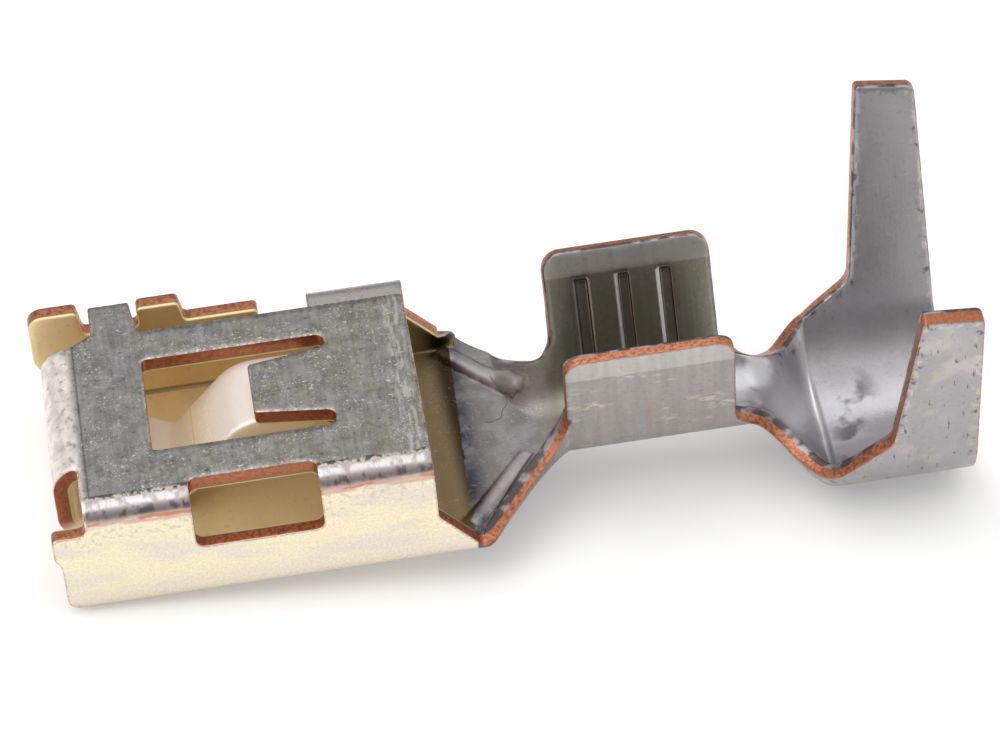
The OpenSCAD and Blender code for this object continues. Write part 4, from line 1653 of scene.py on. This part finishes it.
@dataclass(frozen=True)
class PhotoCamera:
    """Camera fitted to the photo, in the strip's own frame and millimetres."""

    target: tuple[float, float, float] = (9.793, 0.224, 1.971)
    distance: float = 129.51
    azimuth: float = 3.52
    elevation: float = 41.03
    roll: float = 6.11
    focal_px: float = 5607.9
    width_px: float = 1000.0

    def build(self, rest: Matrix) -> bpy.types.Object:
        """Adds the camera, turned to the pose at rest.

        Args:
            rest: turn and shift to the pose at rest.

        Returns:
            The camera.
        """
        az, el, roll = (math.radians(v) for v in (self.azimuth, self.elevation, self.roll))
        ahead = Vector((math.sin(az) * math.cos(el), math.cos(az) * math.cos(el), -math.sin(el)))
        right = Vector((math.cos(az), -math.sin(az), 0.0))
        down = ahead.cross(right)
        across = right * math.cos(roll) + down * math.sin(roll)
        below = down * math.cos(roll) - right * math.sin(roll)
        spot = Vector(self.target) - ahead * self.distance
        turn = rest.to_3x3().normalized()
        axes = Matrix((turn @ across, turn @ -below, turn @ -ahead)).transposed()
        data = bpy.data.cameras.new("photo camera")
        data.sensor_width = 36.0
        data.lens = self.focal_px / self.width_px * data.sensor_width
        data.clip_start = 0.001
        data.clip_end = 10.0
        camera = shown("photo camera", data)
        camera.matrix_world = Matrix.Translation(rest @ spot) @ axes.to_4x4()
        bpy.context.scene.camera = camera
        return camera


@dataclass(frozen=True)
class Lamp:
    """A square soft light that faces the object."""

    name: str
    spot: tuple[float, float, float]
    side: float
    watts: float
    colour: Colour = (1.0, 1.0, 1.0)

    def build(self) -> None:
        """Adds the light to the scene."""
        data = bpy.data.lights.new(self.name, "AREA")
        data.size = self.side
        data.energy = self.watts
        data.color = self.colour
        lamp = shown(self.name, data)
        lamp.location = self.spot
        lamp.rotation_euler = (-Vector(self.spot)).to_track_quat("-Z", "Y").to_euler()


@dataclass(frozen=True)
class Studio:
    """Pale floor, soft lights, the surrounding room and the view settings."""

    zenith: float = 1.15
    room: float = 0.34
    right: float = 0.5
    glow: float = 0.2
    floor_reach: float = 2.0
    floor_colour: Colour = (0.85, 0.85, 0.84)
    lamps: tuple[Lamp, ...] = (Lamp("key", (-0.22, -0.03, 0.26), 0.34, 0.6),)

    def build(self) -> None:
        """Adds the whole studio to the scene."""
        bpy.context.scene.view_settings.view_transform = "Standard"
        self.surroundings()
        self.floor()
        for lamp in self.lamps:
            lamp.build()

    def surroundings(self) -> None:
        """Adds a room that grows brighter overhead and on its right."""
        world = bpy.data.worlds.new("studio")
        g = Graph.fresh(world)
        across, _, up = g.split(g.node("ShaderNodeTexCoord", output="Generated"))
        light = up.ramp(0.4, 0.97, (self.room, self.zenith)) + across.ramp(0.3, 0.75, (0.0, self.right))
        lit = g.node("ShaderNodeBackground", {"Color": (1, 1, 1, 1), "Strength": light})
        g.end("ShaderNodeOutputWorld", "Surface", lit)
        bpy.context.scene.world = world

    def floor(self) -> None:
        """Adds a pale floor that the camera and the metal see as white, with the object's shadow on it."""
        mesh = bpy.data.meshes.new("floor")
        r = self.floor_reach
        mesh.from_pydata([(-r, -r, 0), (r, -r, 0), (r, r, 0), (-r, r, 0)], [], [(0, 1, 2, 3)])
        floor = shown("floor", mesh)
        material = bpy.data.materials.new("floor")
        g = Graph.fresh(material)
        rays = ("Camera", "Glossy", "Transmission")
        camera, glossy, through = (g.node("ShaderNodeLightPath", output=f"Is {kind} Ray") for kind in rays)
        pale = g.node("ShaderNodeBsdfDiffuse", {"Color": (*self.floor_colour, 1.0)})
        glow = g.node("ShaderNodeEmission", {"Color": (1, 1, 1, 1), "Strength": self.glow})
        bright = g.node("ShaderNodeAddShader", {0: pale, 1: glow})
        mixed = g.node("ShaderNodeMixShader", {0: camera.most(glossy).most(through), 1: pale, 2: bright})
        g.end("ShaderNodeOutputMaterial", "Surface", mixed)
        mesh.materials.append(material)
        floor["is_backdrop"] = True


def main() -> None:
    """Builds the terminal inside the box of the parts already in the scene, and its studio."""
    logging.basicConfig(level=logging.INFO, format="%(name)s: %(message)s")
    low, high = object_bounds()
    terminal = Terminal()
    piece = terminal.build(TinFinish().material(terminal.crease))
    keep_inside(piece, low, high)
    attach(piece, "root")
    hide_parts("terminal")
    LOG.info("%s: %d faces", piece.name, len(piece.data.polygons))
    PhotoCamera().build(terminal.size.rest)
    Studio().build()
    bpy.context.view_layer.update()


if __name__ == "__main__":
    main()
